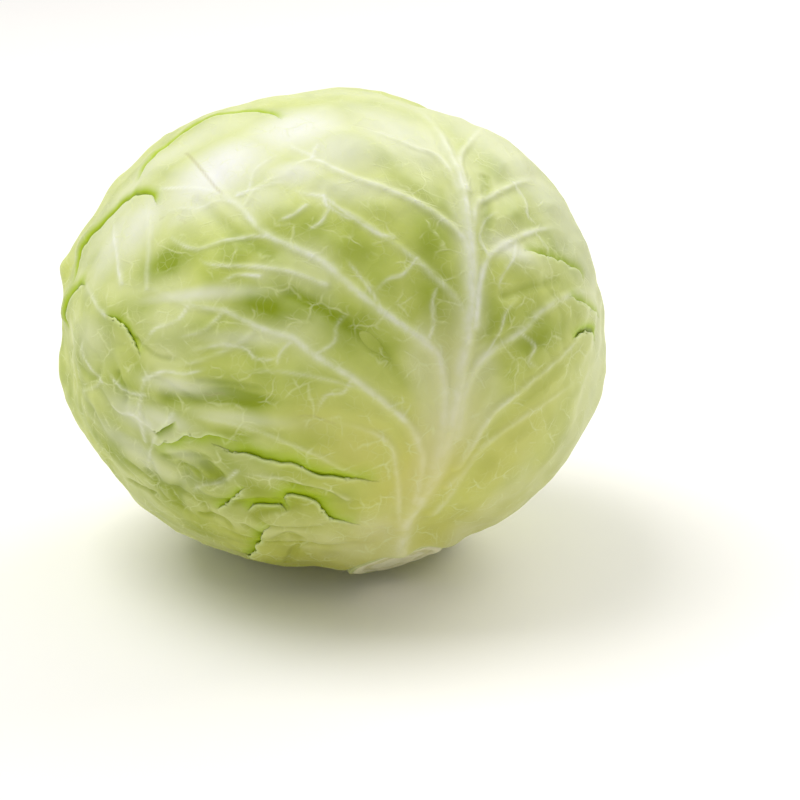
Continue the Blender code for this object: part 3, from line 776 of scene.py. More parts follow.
def inner_leaf(number, size, covers):
    """A wrapper leaf further in, with a midrib, side veins by turns left and right, and twigs."""
    name, half_width, reach, tear = size
    leaf = Leaf(name, number, covers)
    leaf.set_edge(inner_edge(half_width, reach, tear, number))
    draw = np.random.default_rng(LEAF_SEED + number)
    turn = 1 if number % 2 else -1
    run = np.linspace(0.0, 1.0, RIB_POINTS)
    rise = RIB_START - DROP + (DROP + reach * RIB_REACH) * run
    middle = np.column_stack((turn * RIB_BEND * np.sin(math.pi * run), rise))
    add_vein(leaf, middle, MIDRIB, 1.0)
    for start in LATERAL_STARTS:
        for side in (1, -1):
            place_on_rib = start + draw.uniform(-START_SCATTER, START_SCATTER)
            points = lateral(middle, place_on_rib, side, half_width, draw)
            add_vein(leaf, points, LATERAL, draw.uniform(*LATERAL_STRENGTHS))
            add_twigs(leaf, points, draw)
    for spot in ((half_width, RIB_START), (-half_width, -RIB_START), (0, reach)):
        leaf.lifts += ((spot, CURL_SPREAD, CURL),)
    return leaf


def add_vein(leaf, points, size, strength):
    """Draws a vein through points on the leaf's map."""
    leaf.veins.append(Vein(leaf.from_map(smooth_line(points, Line.step)), size, strength))


def lateral(middle, start, side, half_width, draw):
    """A side vein that leaves the midrib at a slant and bends up towards the margin."""
    at = start * (len(middle) - 1)
    root = np.array([np.interp(at, np.arange(len(middle)), column) for column in middle.T])
    run = np.linspace(0.0, 1.0, LATERAL_POINTS)
    out = side * half_width * (LATERAL_REACH - LATERAL_TAPER * start) * run
    up = LATERAL_RISE * run + LATERAL_BEND * run**2 * (1 - start)
    wander = np.cumsum(draw.normal(size=(LATERAL_POINTS, 2)), axis=0) * LATERAL_WANDER * run[:, None]
    return root + np.column_stack((out, up)) + wander


def add_twigs(leaf, points, draw):
    """Thin veins that leave a side vein by turns above and below."""
    points = smooth_line(points, TWIG_SPACING)
    for number in range(TWIG_ENDS, len(points) - TWIG_ENDS, TWIG_STEP):
        heading = points[number + 1] - points[number - 1]
        heading = heading / np.linalg.norm(heading)
        across = np.array((-heading[1], heading[0])) * (1 if number % 2 else -1)
        length = draw.uniform(*TWIG_LENGTHS)
        run = np.linspace(0.0, 1.0, TWIG_POINTS)[:, None]
        line = points[number] + length * run * (heading * TWIG_SLANT[0] + across * TWIG_SLANT[1])
        line = line + draw.normal(size=(TWIG_POINTS, 2)) * TWIG_WANDER * run
        add_vein(leaf, line, TWIG, draw.uniform(*TWIG_STRENGTHS))


def patches(directions, spots):
    """The strongest of some soft patches, given by their place and half sizes in the photo."""
    found = np.zeros(len(directions))
    for x, y, wide, tall, strength in spots:
        middle = seen_at([(x, y)])[0]
        across = seen_at([(x + 1, y)])[0] - middle
        up = seen_at([(x, y + 1)])[0] - middle
        gap = directions - middle
        facing = directions @ middle > 0.0
        u = gap @ across / (across @ across) / wide
        v = gap @ up / (up @ up) / tall
        found = np.maximum(found, np.where(facing, strength * bell(np.hypot(u, v)), 0.0))
    return found


def veins_on(leaf, directions):
    """The height and the strength of the leaf's veins, the room between them, and its furrows."""
    ridge = np.zeros(len(directions))
    vein = np.zeros(len(directions))
    open_room = np.ones(len(directions))
    for line in leaf.veins:
        numbers, height, strength = line.relief(directions)
        ridge[numbers] = np.maximum(ridge[numbers], height)
        vein[numbers] = np.maximum(vein[numbers], strength)
        if line.size[0] > SIDE_VEIN[0]:
            numbers, _, away, _ = line.near(directions, PUFF_ROOM)
            open_room[numbers] = np.minimum(open_room[numbers], smooth_step(np.abs(away) / PUFF_ROOM))
    furrow = np.zeros(len(directions))
    for line in leaf.furrows:
        numbers, height, _ = line.relief(directions)
        furrow[numbers] = np.maximum(furrow[numbers], height)
    return ridge, vein, open_room, furrow


def margin_lift(leaf, directions, edge_gap):
    """How far the blade's margin curls away from the head."""
    lift = RIM_CURL * bell(edge_gap / RIM_CURL_WIDTH)
    for spot, spread, amount in leaf.lifts:
        near = bell(arc(directions, leaf.from_map([spot])) / spread)
        lift = lift + amount * near * (1.0 - smooth_step(edge_gap / (LIFT_FADE * MM_PER_DEGREE)))
    return lift


def crumple(directions, raised):
    """Presses the crumples and creases into the front leaf, raises its bumps, and gives both masks."""
    along = (directions @ GRAIN_HEADING)[:, None]
    squeezed = directions - (1.0 - CRUMPLE_STRETCH) * along * GRAIN_HEADING
    valley = bell(WRINKLE(squeezed) / CRUMPLE_LINE) * patches(directions, CRUMPLED)
    raised -= CRUMPLE_DEPTH * valley
    for spot, spread, amount in BUMPS:
        raised += amount * bell(arc(directions, seen_at([spot])) / spread)
    crease = np.zeros(len(directions))
    for strength, pixels in CREASES:
        numbers, run, away, _ = Line(seen_line(pixels)).near(directions, MARK_REACH * CREASE_WIDTH)
        fade = smooth_step(np.minimum(run, 1.0 - run) * CREASE_RISE)
        mark = strength * bell(away / CREASE_WIDTH) * fade
        crease[numbers] = np.maximum(crease[numbers], mark)
        raised[numbers] -= CREASE_DEPTH * mark
    return valley, crease


def open_slits(leaf, directions, cut_side, raised, rim):
    """Draws each slit's upper side over its lower one; gives the push along the surface and the gap's painted
    shade.
    """
    shift = np.zeros((len(directions), 3))
    gap = np.zeros(len(directions))
    for number, slit in enumerate(leaf.slits, 1):
        numbers, run, away, nearest = slit.near(directions, MARK_REACH * max(slit.width, LIP_WIDTH))
        side = np.sign(away)
        cut = np.abs(cut_side[numbers]) == number
        side[cut] = np.sign(cut_side[numbers][cut])
        away = np.abs(away)
        away[cut] = 0.0
        fade = smooth_step(np.minimum(run, 1.0 - run) / SLIT_END_FADE)
        top = side < 0
        up = slit.lift * bell(away / LIP_WIDTH)
        down = slit.tuck * bell(away / slit.width) - slit.bank * bell(away / BANK_PLACE - 1.0)
        raised[numbers] += np.where(top, up, -down) * fade
        over = np.where(top, bell(away / LIP_WIDTH), bell(away / slit.width)) * fade * slit.overlap
        shift[numbers] += slit.side[nearest] * (over * np.where(top, 1.0, -1.0))[:, None]
        # Painted shade in the gap on the lower side, stronger past a high bank
        tint = bell(away / (GAP_SHADE_WIDTH * slit.width + slit.bank))
        tint *= DEEP_SHADE_BOOST if slit.bank > DEEP_SHADE_BANK else 1.0
        gap[numbers] = np.maximum(gap[numbers], np.where(top, 0.0, tint) * np.sqrt(fade))
        # Painted highlight along the upper side's lip
        rim[numbers] = np.maximum(rim[numbers], np.where(top, bell(away / RIM_HIGHLIGHT_WIDTH), 0.0) * fade)
    return shift, gap


def relief(leaf, directions, cut_side):
    """How far each point is raised and pushed along the surface, and the masks that colour it, painted shade
    and highlight among them.
    """
    bare = leaf.bare(directions)
    edge_gap = np.maximum(leaf.edge_gap(leaf.to_map(directions)), 0.0) * MM_PER_DEGREE
    ridge, vein, open_room, furrow = veins_on(leaf, directions)
    raised = ridge + PUFF * open_room * (PUFF_MEAN + PUFF_SWAY * SWAY(directions)) - furrow
    buckle = BUCKLE_HEIGHT * BUCKLE(directions) * open_room
    raised += buckle + RIPPLE_HEIGHT * RIPPLE(directions) - MEAN_RELIEF
    raised *= bare
    collar = COLLAR * bell((arc(directions, STEM) - LEAF_RING) / COLLAR_SPREAD)
    raised += margin_lift(leaf, directions, edge_gap) * bare + collar
    valley = crease = np.zeros(len(directions))
    if leaf.slits:
        valley, crease = crumple(directions, raised)
    # Painted highlight along the margin
    rim = RIM_HIGHLIGHT_STRENGTH * bell(edge_gap / RIM_HIGHLIGHT_WIDTH)
    shift, gap = open_slits(leaf, directions, cut_side, raised, rim)
    # The furrows and crumple valleys also get painted shade
    furrow = furrow + VALLEY_SHADE * valley
    return raised, shift, vein * bare, gap, rim, bare, open_room, furrow, crease


def zones(leaf, directions, bare, open_room, furrow):
    """Where the blade is lime, white or yellow, from 0 to 1: the lime holds painted shade and the white
    painted highlight.
    """
    mottle = MOTTLE_MEAN + MOTTLE_SHARE * MOTTLE(directions) + MOTTLE_BUCKLE * BUCKLE(directions)
    # Lime under covering leaves and in furrows is painted shade
    lime = OPEN_LIME * open_room * np.clip(mottle, 0.0, MOTTLE_LIMIT) + COVERED_SHADE_LIME * (1.0 - bare)
    lime = lime + FURROW_SHADE_LIME * furrow
    pale_and_highlight = WHITE_SHARE * np.clip(PALENESS(directions), 0.0, 1.0)
    yellow = STEM_YELLOW * bell(arc(directions, STEM) / STEM_YELLOW_SPREAD)
    if leaf.name == "leaf_front":
        # The lime patches hold painted shade in creases, the white patches painted highlight
        lime = lime + patches(directions, LIME_AND_SHADE_PATCHES)
        pale_and_highlight = np.maximum(pale_and_highlight * (1.0 - np.clip(lime, 0.0, 1.0)), patches(directions, HIGHLIGHT_PATCHES))
        yellow = np.maximum(yellow, patches(directions, YELLOW_PATCHES))
    lime = lime * (1.0 - LIME_HIDDEN * np.clip(pale_and_highlight, 0.0, 1.0))
    return [np.clip(zone, 0.0, 1.0) for zone in (lime, pale_and_highlight, yellow)]


def deselect_all():
    if bpy.context.object and bpy.context.object.mode != "OBJECT":
        bpy.ops.object.mode_set(mode="OBJECT")
    bpy.ops.object.select_all(action="DESELECT")


def mesh_points(mesh):
    found = np.empty(len(mesh.vertices) * 3, np.float32)
    mesh.vertices.foreach_get("co", found)
    return found.reshape(-1, 3).astype(float)


def set_mesh_points(mesh, points):
    """Moves the mesh's points."""
    mesh.vertices.foreach_set("co", points.astype(np.float32).ravel())
    mesh.update()


def settle(mesh, points):
    """Gives the mesh points in millimetres from the head's middle their place in the scene."""
    set_mesh_points(mesh, (points + HEAD_MIDDLE) / MM_PER_METRE)


def store_marks(mesh, colours, marks, crease, blade_map):
    """Keeps what the leaf material reads."""
    store(mesh, "zones", colours)
    store(mesh, "marks", marks)
    store(mesh, "crease", crease)
    store(mesh, "blade_map", blade_map)


def store(mesh, name, values):
    """Keeps a value or a vector for each point of the mesh, for the material to read."""
    vector = values.ndim == 2
    layer = mesh.attributes.new(name, "FLOAT_VECTOR" if vector else "FLOAT", "POINT")
    layer.data.foreach_set("vector" if vector else "value", values.astype(np.float32).ravel())


def apply_modifier(piece, kind, **settings):
    bpy.context.view_layer.objects.active = piece
    modifier = piece.modifiers.new(kind.title(), kind)
    for name, value in settings.items():
        setattr(modifier, name, value)
    bpy.ops.object.modifier_apply(modifier=modifier.name)


def cut_slits(mesh, leaf):
    """Cuts the flat blade along its slits, and marks on which side of a slit each cut point lies."""
    centres = np.empty(len(mesh.polygons) * 3, np.float32)
    mesh.polygons.foreach_get("center", centres)
    centres = centres.reshape(-1, 3)[:, :2]
    work = bmesh.new()
    work.from_mesh(mesh)
    marks = work.verts.layers.float.new("cut_side")
    work.faces.ensure_lookup_table()
    first_faces = list(work.faces)
    made = []
    for number, slit in enumerate(leaf.slits, 1):
        path = leaf.to_map(slit.points[::CUT_SAMPLES])
        apart = np.min([np.hypot(*(centres - point).T) for point in path], axis=0)
        near = {first_faces[i] for i in np.flatnonzero(apart < CUT_ROOM)}
        made = [face for face in made if face.is_valid]
        near |= {face for face, away in zip(made, path_gap(middles_of(made), path)[0]) if away < CUT_ROOM}
        near = dict(zip(near, middles_of(near).tolist()))
        for a, b in zip(path.tolist(), path[1:].tolist()):
            fresh = bisect_stretch(work, near, a, b)
            near.update(zip(fresh, middles_of(fresh).tolist()))
        made = list(set(made) | set(near))
        verts, gap, _ = beside(near, path)
        on_path = {vert for vert, away in zip(verts, gap) if away < CUT_MATCH}
        edges = [edge for vert in on_path for edge in vert.link_edges if edge.other_vert(vert) in on_path]
        edges = list(set(edges))
        middles = np.array([((edge.verts[0].co + edge.verts[1].co) / 2.0)[:2] for edge in edges])
        edges = [edge for edge, away in zip(edges, path_gap(middles, path)[0]) if away < CUT_MATCH]
        bmesh.ops.split_edges(work, edges=edges)
        verts, gap, _ = beside(near, path)
        for vert in [vert for vert, away in zip(verts, gap) if away < CUT_MATCH and vert.is_boundary]:
            middle = middles_of(vert.link_faces).mean(axis=0)
            vert[marks] = math.copysign(number, -path_gap(middle[None, :], path)[1][0])
    work.to_mesh(mesh)
    work.free()


def bisect_stretch(work, near, a, b):
    """Cuts the faces along one straight stretch of a slit, and gives the faces that this makes."""
    length = math.hypot(b[0] - a[0], b[1] - a[1])
    x, y = (b[0] - a[0]) / length, (b[1] - a[1]) / length
    x_middle, y_middle = (a[0] + b[0]) / 2.0, (a[1] + b[1]) / 2.0
    chosen = []
    for face, (x_face, y_face) in near.items():
        if abs(x_face - x_middle) > CUT_ROOM or abs(y_face - y_middle) > CUT_ROOM or not face.is_valid:
            continue
        gaps = [(vert.co.x - a[0], vert.co.y - a[1]) for vert in face.verts]
        along = [gap[0] * x + gap[1] * y for gap in gaps]
        if max(along) < 0.0 or min(along) > length:
            continue
        across = [gap[1] * x - gap[0] * y for gap in gaps]
        if max(across) > CUT_MATCH and min(across) < -CUT_MATCH:
            chosen.append(face)
    verts = list({vert for face in chosen for vert in face.verts})
    edges = list({edge for face in chosen for edge in face.edges})
    bmesh.ops.bisect_plane(
        work, geom=verts + edges + chosen, dist=CUT_WELD, plane_co=(a[0], a[1], 0.0), plane_no=(-y, x, 0.0)
    )
    return list({face for edge in edges if edge.is_valid for vert in edge.verts for face in vert.link_faces})


def middles_of(faces):
    """The middles of some faces on the blade's map."""
    return np.array([face.calc_center_median()[:2] for face in faces]).reshape(-1, 2)


def beside(faces, path):
    """The points of some faces, with their distances from a slit's path and their sides of it."""
    verts = list({vert for face in faces if face.is_valid for vert in face.verts})
    return verts, *path_gap(np.array([vert.co[:2] for vert in verts]), path)


def path_gap(points, path):
    """How far map points lie from a slit's path, and on which side: above nought is its left."""
    best, side = np.full(len(points), FAR), np.zeros(len(points))
    for a, b in zip(path, path[1:]):
        step = b - a
        gap = points - a
        run = np.clip((gap @ step) / (step @ step), 0.0, 1.0)
        away = np.hypot(*(gap - run[:, None] * step).T)
        closer = away < best
        best[closer] = away[closer]
        side[closer] = (step[0] * gap[:, 1] - step[1] * gap[:, 0])[closer]
    return best, side


def leaf_piece(leaf, cells):
    """A leaf's blade: a flat grid spread over its map, cut, laid on the head and given its thickness."""
    deselect_all()
    bpy.ops.mesh.primitive_grid_add(x_subdivisions=cells, y_subdivisions=cells, size=2.0)
    piece = bpy.context.active_object
    piece.name = leaf.name + "_blade"
    mesh = piece.data
    flat = leaf.spread_on_map(mesh_points(mesh)[:, :2])
    set_mesh_points(mesh, np.column_stack((flat, np.zeros(len(flat)))))
    if leaf.slits:
        cut_slits(mesh, leaf)
        flat = mesh_points(mesh)[:, :2]
    cut_side = np.zeros(len(flat), np.float32)
    if leaf.slits:
        mesh.attributes["cut_side"].data.foreach_get("value", cut_side)
        mesh.attributes.remove(mesh.attributes["cut_side"])
    directions = leaf.from_map(flat)
    raised, shift, vein, gap, rim, bare, open_room, furrow, crease = relief(leaf, directions, cut_side)
    colours = zones(leaf, directions, bare, open_room, furrow)
    moved = unit(directions + shift / HEAD_RADIUS)
    points = place(moved, leaf.depth(directions), raised)
    settle(mesh, points)
    blade_map = np.column_stack((flat * MM_PER_DEGREE, np.zeros(len(flat))))
    # The marks hold the veins, the painted shade in the slits' gaps and the painted highlight along the
    # margins.
    store_marks(mesh, np.column_stack(colours), np.column_stack((vein, gap, rim)), crease, blade_map)
    while mesh.uv_layers:
        mesh.uv_layers.remove(mesh.uv_layers[0])
    thicken(piece, leaf, flat)
    piece.data.shade_smooth()
    return piece


def thicken(piece, leaf, flat):
    """Gives the blade its thickness, thinner at its margin, and the front leaf's inner side fewer faces."""
    edge_gap = np.maximum(leaf.edge_gap(flat), 0.0) * MM_PER_DEGREE
    group = piece.vertex_groups.new(name="thickness")
    thickness = 1.0 - EDGE_THINNING * bell(edge_gap / EDGE_THIN_WIDTH)
    levels = np.round(thickness * THICKNESS_LEVELS)
    for level in range(THICKNESS_LEVELS + 1):
        numbers = np.flatnonzero(levels == level).tolist()
        if numbers:
            group.add(numbers, level / THICKNESS_LEVELS, "REPLACE")
    apply_modifier(
        piece, "SOLIDIFY", thickness=BLADE / MM_PER_METRE, offset=-1.0, use_even_offset=False,
        vertex_group="thickness", thickness_vertex_group=0.0
    )
    if leaf.slits:
        inner = piece.vertex_groups.new(name="inner_side")
        inner.add(list(range(len(flat), len(piece.data.vertices))), 1.0, "REPLACE")
        apply_modifier(piece, "DECIMATE", ratio=0.5 + INNER_SHARE / 2.0, vertex_group="inner_side")
    piece.vertex_groups.clear()


class Shade:
    """A node's output with Python's operators: an expression on values adds its Math nodes."""

    def __init__(self, tree, socket):
        self.tree = tree
        self.socket = socket

    def math(self, operation, *values):
        return self.tree.node("ShaderNodeMath", {"operation": operation}, *values)[0]

    def __add__(self, other):
        return self.math("ADD", self, other)

    __radd__ = __add__

    def __sub__(self, other):
        return self.math("SUBTRACT", self, other)

    def __rsub__(self, other):
        return self.math("SUBTRACT", other, self)

    def __mul__(self, other):
        return self.math("MULTIPLY", self, other)

    __rmul__ = __mul__

    def clamp(self):
        return self.tree.node("ShaderNodeClamp", {}, self)[0]

    def ramp(self, low, high, first=0.0, last=1.0):
        """The value stretched smoothly from low..high to first..last."""
        settings = {"interpolation_type": "SMOOTHSTEP"}
        return self.tree.node("ShaderNodeMapRange", settings, self, low, high, first, last)[0]


class Shader:
    """A material's nodes."""

    def __init__(self, name):
        self.material = bpy.data.materials.new(name)
        self.material.use_nodes = True
        self.nodes = self.material.node_tree.nodes
        self.links = self.material.node_tree.links
        self.surface = self.nodes["Principled BSDF"]

    def node(self, kind, settings, *values, **named):
        """Makes a node, sets its settings, then its sockets in order or by name, and gives its outputs."""
        made = self.nodes.new(kind)
        for name, value in settings.items():
            setattr(made, name, value)
        inputs = [socket for socket in made.inputs if socket.enabled]
        for socket, value in zip(inputs, values):
            self.put(socket, value)
        for name, value in named.items():
            self.put(made.inputs[name.replace("_", " ")], value)
        return [Shade(self, socket) for socket in made.outputs if socket.enabled]

    def put(self, socket, value):
        if isinstance(value, Shade):
            self.links.new(value.socket, socket)
        elif value is not None:
            socket.default_value = value

    def set(self, name, value):
        self.put(self.surface.inputs[name], value)

    def finish(self, body, roughness, height, bump, surface):
        """Joins the colour, the gloss and the fine relief to the surface, and sets the rest of it."""
        self.set("Base Color", body)
        self.set("Roughness", roughness)
        self.set("Normal", self.node("ShaderNodeBump", {}, Height=height, **bump)[0])
        for name, value in surface.items():
            self.set(name, value)
        return self.material

    def mix(self, amount, first, second):
        """A colour between the two."""
        return self.node("ShaderNodeMix", {"data_type": "RGBA"}, amount, first, second)[0]

    def scale(self, vector, amount):
        return self.node("ShaderNodeVectorMath", {"operation": "SCALE"}, Vector=vector, Scale=amount)[0]

    def add(self, first, second):
        return self.node("ShaderNodeVectorMath", {"operation": "ADD"}, first, second)[0]

    def attribute(self, name):
        made = self.node("ShaderNodeAttribute", {"attribute_name": name})
        return {socket.socket.name: socket for socket in made}

    def parts(self, vector):
        return self.node("ShaderNodeSeparateXYZ", {}, vector)

    def noise(self, vector, scale, detail):
        values = {"Vector": vector, "Scale": scale, "Detail": detail, "Roughness": NOISE_ROUGH}
        return self.node("ShaderNodeTexNoise", {}, **values)

    def net(self, vector, scale):
        """How far a point lies from the nearest line of an irregular net."""
        settings = {"feature": "DISTANCE_TO_EDGE", "voronoi_dimensions": "2D"}
        return self.node("ShaderNodeTexVoronoi", settings, Vector=vector, Scale=scale, Randomness=1.0)[0]

    def cells(self, vector, scale):
        """A colour of its own for each cell of the same net."""
        return self.node("ShaderNodeTexVoronoi", {"voronoi_dimensions": "2D"}, Vector=vector, Scale=scale)[1]


def colour(red, green, blue):
    """A linear colour from the numbers of a picture."""
    linear = [(value / 255.0) ** 2.2 for value in (red, green, blue)]
    return (*linear, 1.0)


PALE_GREEN = colour(198, 208, 110)
LIME = colour(136, 154, 12)
# Random paleness and painted highlight
PALE_AND_HIGHLIGHT_WHITE = colour(241, 241, 232)
BASE_YELLOW = colour(204, 198, 100)
VEIN_WHITE = colour(239, 242, 222)
VEIN_YELLOW = colour(218, 214, 150)
# Painted shade in the slits' gaps, darkest where deepest
GAP_SHADE_LIME = colour(164, 190, 12)
GAP_DEEP_SHADE = colour(108, 130, 10)
# Brownish scratches, and painted shadow lines along creases
CREASE_BROWN_AND_SHADE = colour(166, 156, 104)
# Painted highlight along the margins and the slits' lips
RIM_HIGHLIGHT = colour(222, 234, 168)
NET_PALE = colour(222, 229, 168)
STEM_DARK = colour(226, 222, 178)
STEM_PALE = colour(240, 238, 210)
STEM_RING = colour(196, 192, 120)
STEM_SKIN = colour(186, 196, 112)
FLOOR_WHITE = colour(250, 248, 245)

# The leaf's patterns: each noise has its scale, in forms a millimetre, and its detail
NOISE_ROUGH = 0.5
SEED_SHIFT = (37.0, 19.0, 0.0)
WARP = (0.09, 2.0)
WARP_REACH = 9.0
COARSE_NET = 0.105
COARSE_LINE = (0.0, 0.07, 1.0, 0.0)
FINE_NET = 0.33
FINE_LINE = (0.0, 0.12, 1.0, 0.0)
FIELDS = 0.043
CLOUD = (0.05, 4.0)
SPECK = (0.9, 2.0)
NET_BREAKS = (0.12, 2.0)
NET_BREAK_RAMP = (0.42, 0.62)
VEIN_BREAKS = (0.16, 3.0)
VEIN_BREAK_RAMP = (0.3, 0.7, 0.45, 1.0)

# How strongly each shows in the leaf's colour, its gloss and its fine relief
CELL_TONE = 0.10
CLOUD_TONE = 0.9
PALE_AND_HIGHLIGHT_TONE = 0.9
COARSE_TONE = 0.36
FINE_TONE = 0.16
GAP_SHADE_TONE = 0.95
DEEP_SHADE_RAMP = (0.9, 1.8)
DEEP_SHADE_TONE = 0.85
RIM_HIGHLIGHT_TONE = 0.55
CREASE_LINE = (0.25, 0.95)
CREASE_MARK_AND_SHADE_TONE = 0.6
LEAF_ROUGHNESS = 0.36
SPECK_ROUGHNESS = 0.16
VEIN_ROUGHNESS = 0.06
COARSE_HEIGHT = 0.16
FINE_HEIGHT = 0.08
SPECK_HEIGHT = 0.10
CLOUD_HEIGHT = 0.5
LEAF_BUMP = {"Strength": 0.55, "Distance": 0.0007}
LEAF_SURFACE = {
    "Subsurface Weight": 0.22,
    "Subsurface Radius": (1.0, 1.0, 0.35),
    "Subsurface Scale": 0.0035,
    "Specular IOR Level": 0.36,
    "IOR": 1.42,
}

# The cut stem, outwards in shares of its radius
FIBRE = (0.9, 4.0)
RING_INNER = (0.50, 0.60)
RING_OUTER = (0.66, 0.78, 1.0, 0.0)
RING_TONE = 0.6
RING_HEIGHT = 0.5
SKIN_START = (0.86, 0.99)
SKIN_TONE = 0.75
STEM_ROUGHNESS = 0.42
FIBRE_ROUGHNESS = 0.2
STEM_BUMP = {"Strength": 0.6, "Distance": 0.0006}
STEM_SURFACE = {
    "Subsurface Weight": 0.2,
    "Subsurface Radius": (1.0, 0.9, 0.5),
    "Subsurface Scale": 0.003,
}


def leaf_material(name, seed):
    """Waxy leaf: pale veins and a fine net of small ones over green, with painted shade in gaps and folds and
    painted highlight.
    """
    shader = Shader(name)
    zone = shader.parts(shader.attribute("zones")["Vector"])
    mark = shader.parts(shader.attribute("marks")["Vector"])
    place_on_blade = shader.attribute("blade_map")["Vector"]
    flat = shader.add(place_on_blade, tuple(seed * shift for shift in SEED_SHIFT))
    warp = shader.noise(flat, *WARP)[1]
    bent = shader.add(flat, shader.scale(warp, WARP_REACH))
    coarse = shader.net(bent, COARSE_NET).ramp(*COARSE_LINE)
    fine = shader.net(bent, FINE_NET).ramp(*FINE_LINE)
    cloud = shader.noise(flat, *CLOUD)[0]
    speck = shader.noise(flat, *SPECK)[0]
    cell = shader.parts(shader.cells(bent, COARSE_NET))[0]
    field = shader.parts(shader.cells(bent, FIELDS))[0]
    tone = (cell - 0.5) * CELL_TONE + (field - 0.5) * CELL_TONE + (cloud - 0.5) * CLOUD_TONE
    body = shader.mix(zone[0] + tone * (1.0 - zone[1]), PALE_GREEN, LIME)
    body = shader.mix(zone[2], body, BASE_YELLOW)
    # White: random paleness and painted highlight
    body = shader.mix(zone[1] * PALE_AND_HIGHLIGHT_TONE, body, PALE_AND_HIGHLIGHT_WHITE)
    broken = shader.noise(flat, *NET_BREAKS)[0].ramp(*NET_BREAK_RAMP)
    body = shader.mix((coarse * COARSE_TONE + fine * FINE_TONE) * broken, body, NET_PALE)
    rib = shader.mix(zone[2], VEIN_WHITE, VEIN_YELLOW)
    uneven = shader.noise(flat, *VEIN_BREAKS)[0].ramp(*VEIN_BREAK_RAMP)
    body = shader.mix(mark[0] * uneven, body, rib)
    # Painted shade in the slits' gaps: lime, and darker green where deepest
    body = shader.mix(mark[1].clamp() * GAP_SHADE_TONE, body, GAP_SHADE_LIME)
    body = shader.mix(mark[1].ramp(*DEEP_SHADE_RAMP) * DEEP_SHADE_TONE, body, GAP_DEEP_SHADE)
    # Painted highlight along the margins and the slits' lips
    body = shader.mix(mark[2] * RIM_HIGHLIGHT_TONE, body, RIM_HIGHLIGHT)
    # Brownish scratches and painted shadow lines along creases
    crease = shader.attribute("crease")["Fac"]
    body = shader.mix(crease.ramp(*CREASE_LINE) * CREASE_MARK_AND_SHADE_TONE, body, CREASE_BROWN_AND_SHADE)
    roughness = LEAF_ROUGHNESS + speck * SPECK_ROUGHNESS + mark[0] * VEIN_ROUGHNESS
    height = (coarse * COARSE_HEIGHT + fine * FINE_HEIGHT) * broken
    height = height + speck * SPECK_HEIGHT + cloud * CLOUD_HEIGHT
    shader.surface.subsurface_method = "RANDOM_WALK"
    return shader.finish(body, roughness, height, LEAF_BUMP, LEAF_SURFACE)


def stem_material():
    """Cut stem: pale and moist, with a ring of darker fibres round a spongy middle."""
    shader = Shader("cabbage_cut_stem")
    where = shader.attribute("stem_place")["Vector"]
    radius = shader.parts(where)[2]
    fibre = shader.noise(where, *FIBRE)[0]
    ring = radius.ramp(*RING_INNER) * radius.ramp(*RING_OUTER)
    skin = radius.ramp(*SKIN_START)
    body = shader.mix(fibre, STEM_DARK, STEM_PALE)
    body = shader.mix(ring * RING_TONE, body, STEM_RING)
    body = shader.mix(skin * SKIN_TONE, body, STEM_SKIN)
    roughness = STEM_ROUGHNESS + fibre * FIBRE_ROUGHNESS
    return shader.finish(body, roughness, fibre + ring * RING_HEIGHT, STEM_BUMP, STEM_SURFACE)


def heart_piece(leaves):
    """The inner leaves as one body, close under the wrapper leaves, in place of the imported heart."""
    deselect_all()
    bpy.ops.mesh.primitive_uv_sphere_add(segments=HEART_SEGMENTS, ring_count=HEART_RINGS, radius=1.0)
    piece = bpy.context.active_object
    piece.name = "heart_ball"
    mesh = piece.data
    directions = unit(mesh_points(mesh))
    depth = sum((BLADE + GAP) * leaf.cover(directions) for leaf in leaves) + leaves[0].sunk(directions)
    depth = depth + HEART_GAP - GAP
    bare = np.ones(len(directions))
    for leaf in leaves:
        bare *= 1.0 - leaf.cover(directions)
    socket = SOCKET_DEPTH * bell(np.minimum(arc(directions, STEM) / SOCKET_WIDTH, SOCKET_END) ** 3)
    raised = (HEART_RELIEF * BUCKLE(directions) + HEART_RELIEF * SWAY(directions)) * bare
    settle(mesh, place(directions, depth + socket + UNDER_ROOM * (1.0 - bare), raised))
    lime = np.clip(HEART_LIME + HEART_MOTTLE * MOTTLE(directions), 0.0, 1.0)
    none = np.zeros(len(directions))
    around = np.arctan2(directions[:, 1], directions[:, 0])
    blade_map = np.column_stack((around, directions[:, 2], none)) * HEAD_RADIUS
    colours = np.column_stack((lime, none, HEART_YELLOW + none))
    store_marks(mesh, colours, np.column_stack((none, none, none)), none, blade_map)
    mesh.shade_smooth()
    return piece


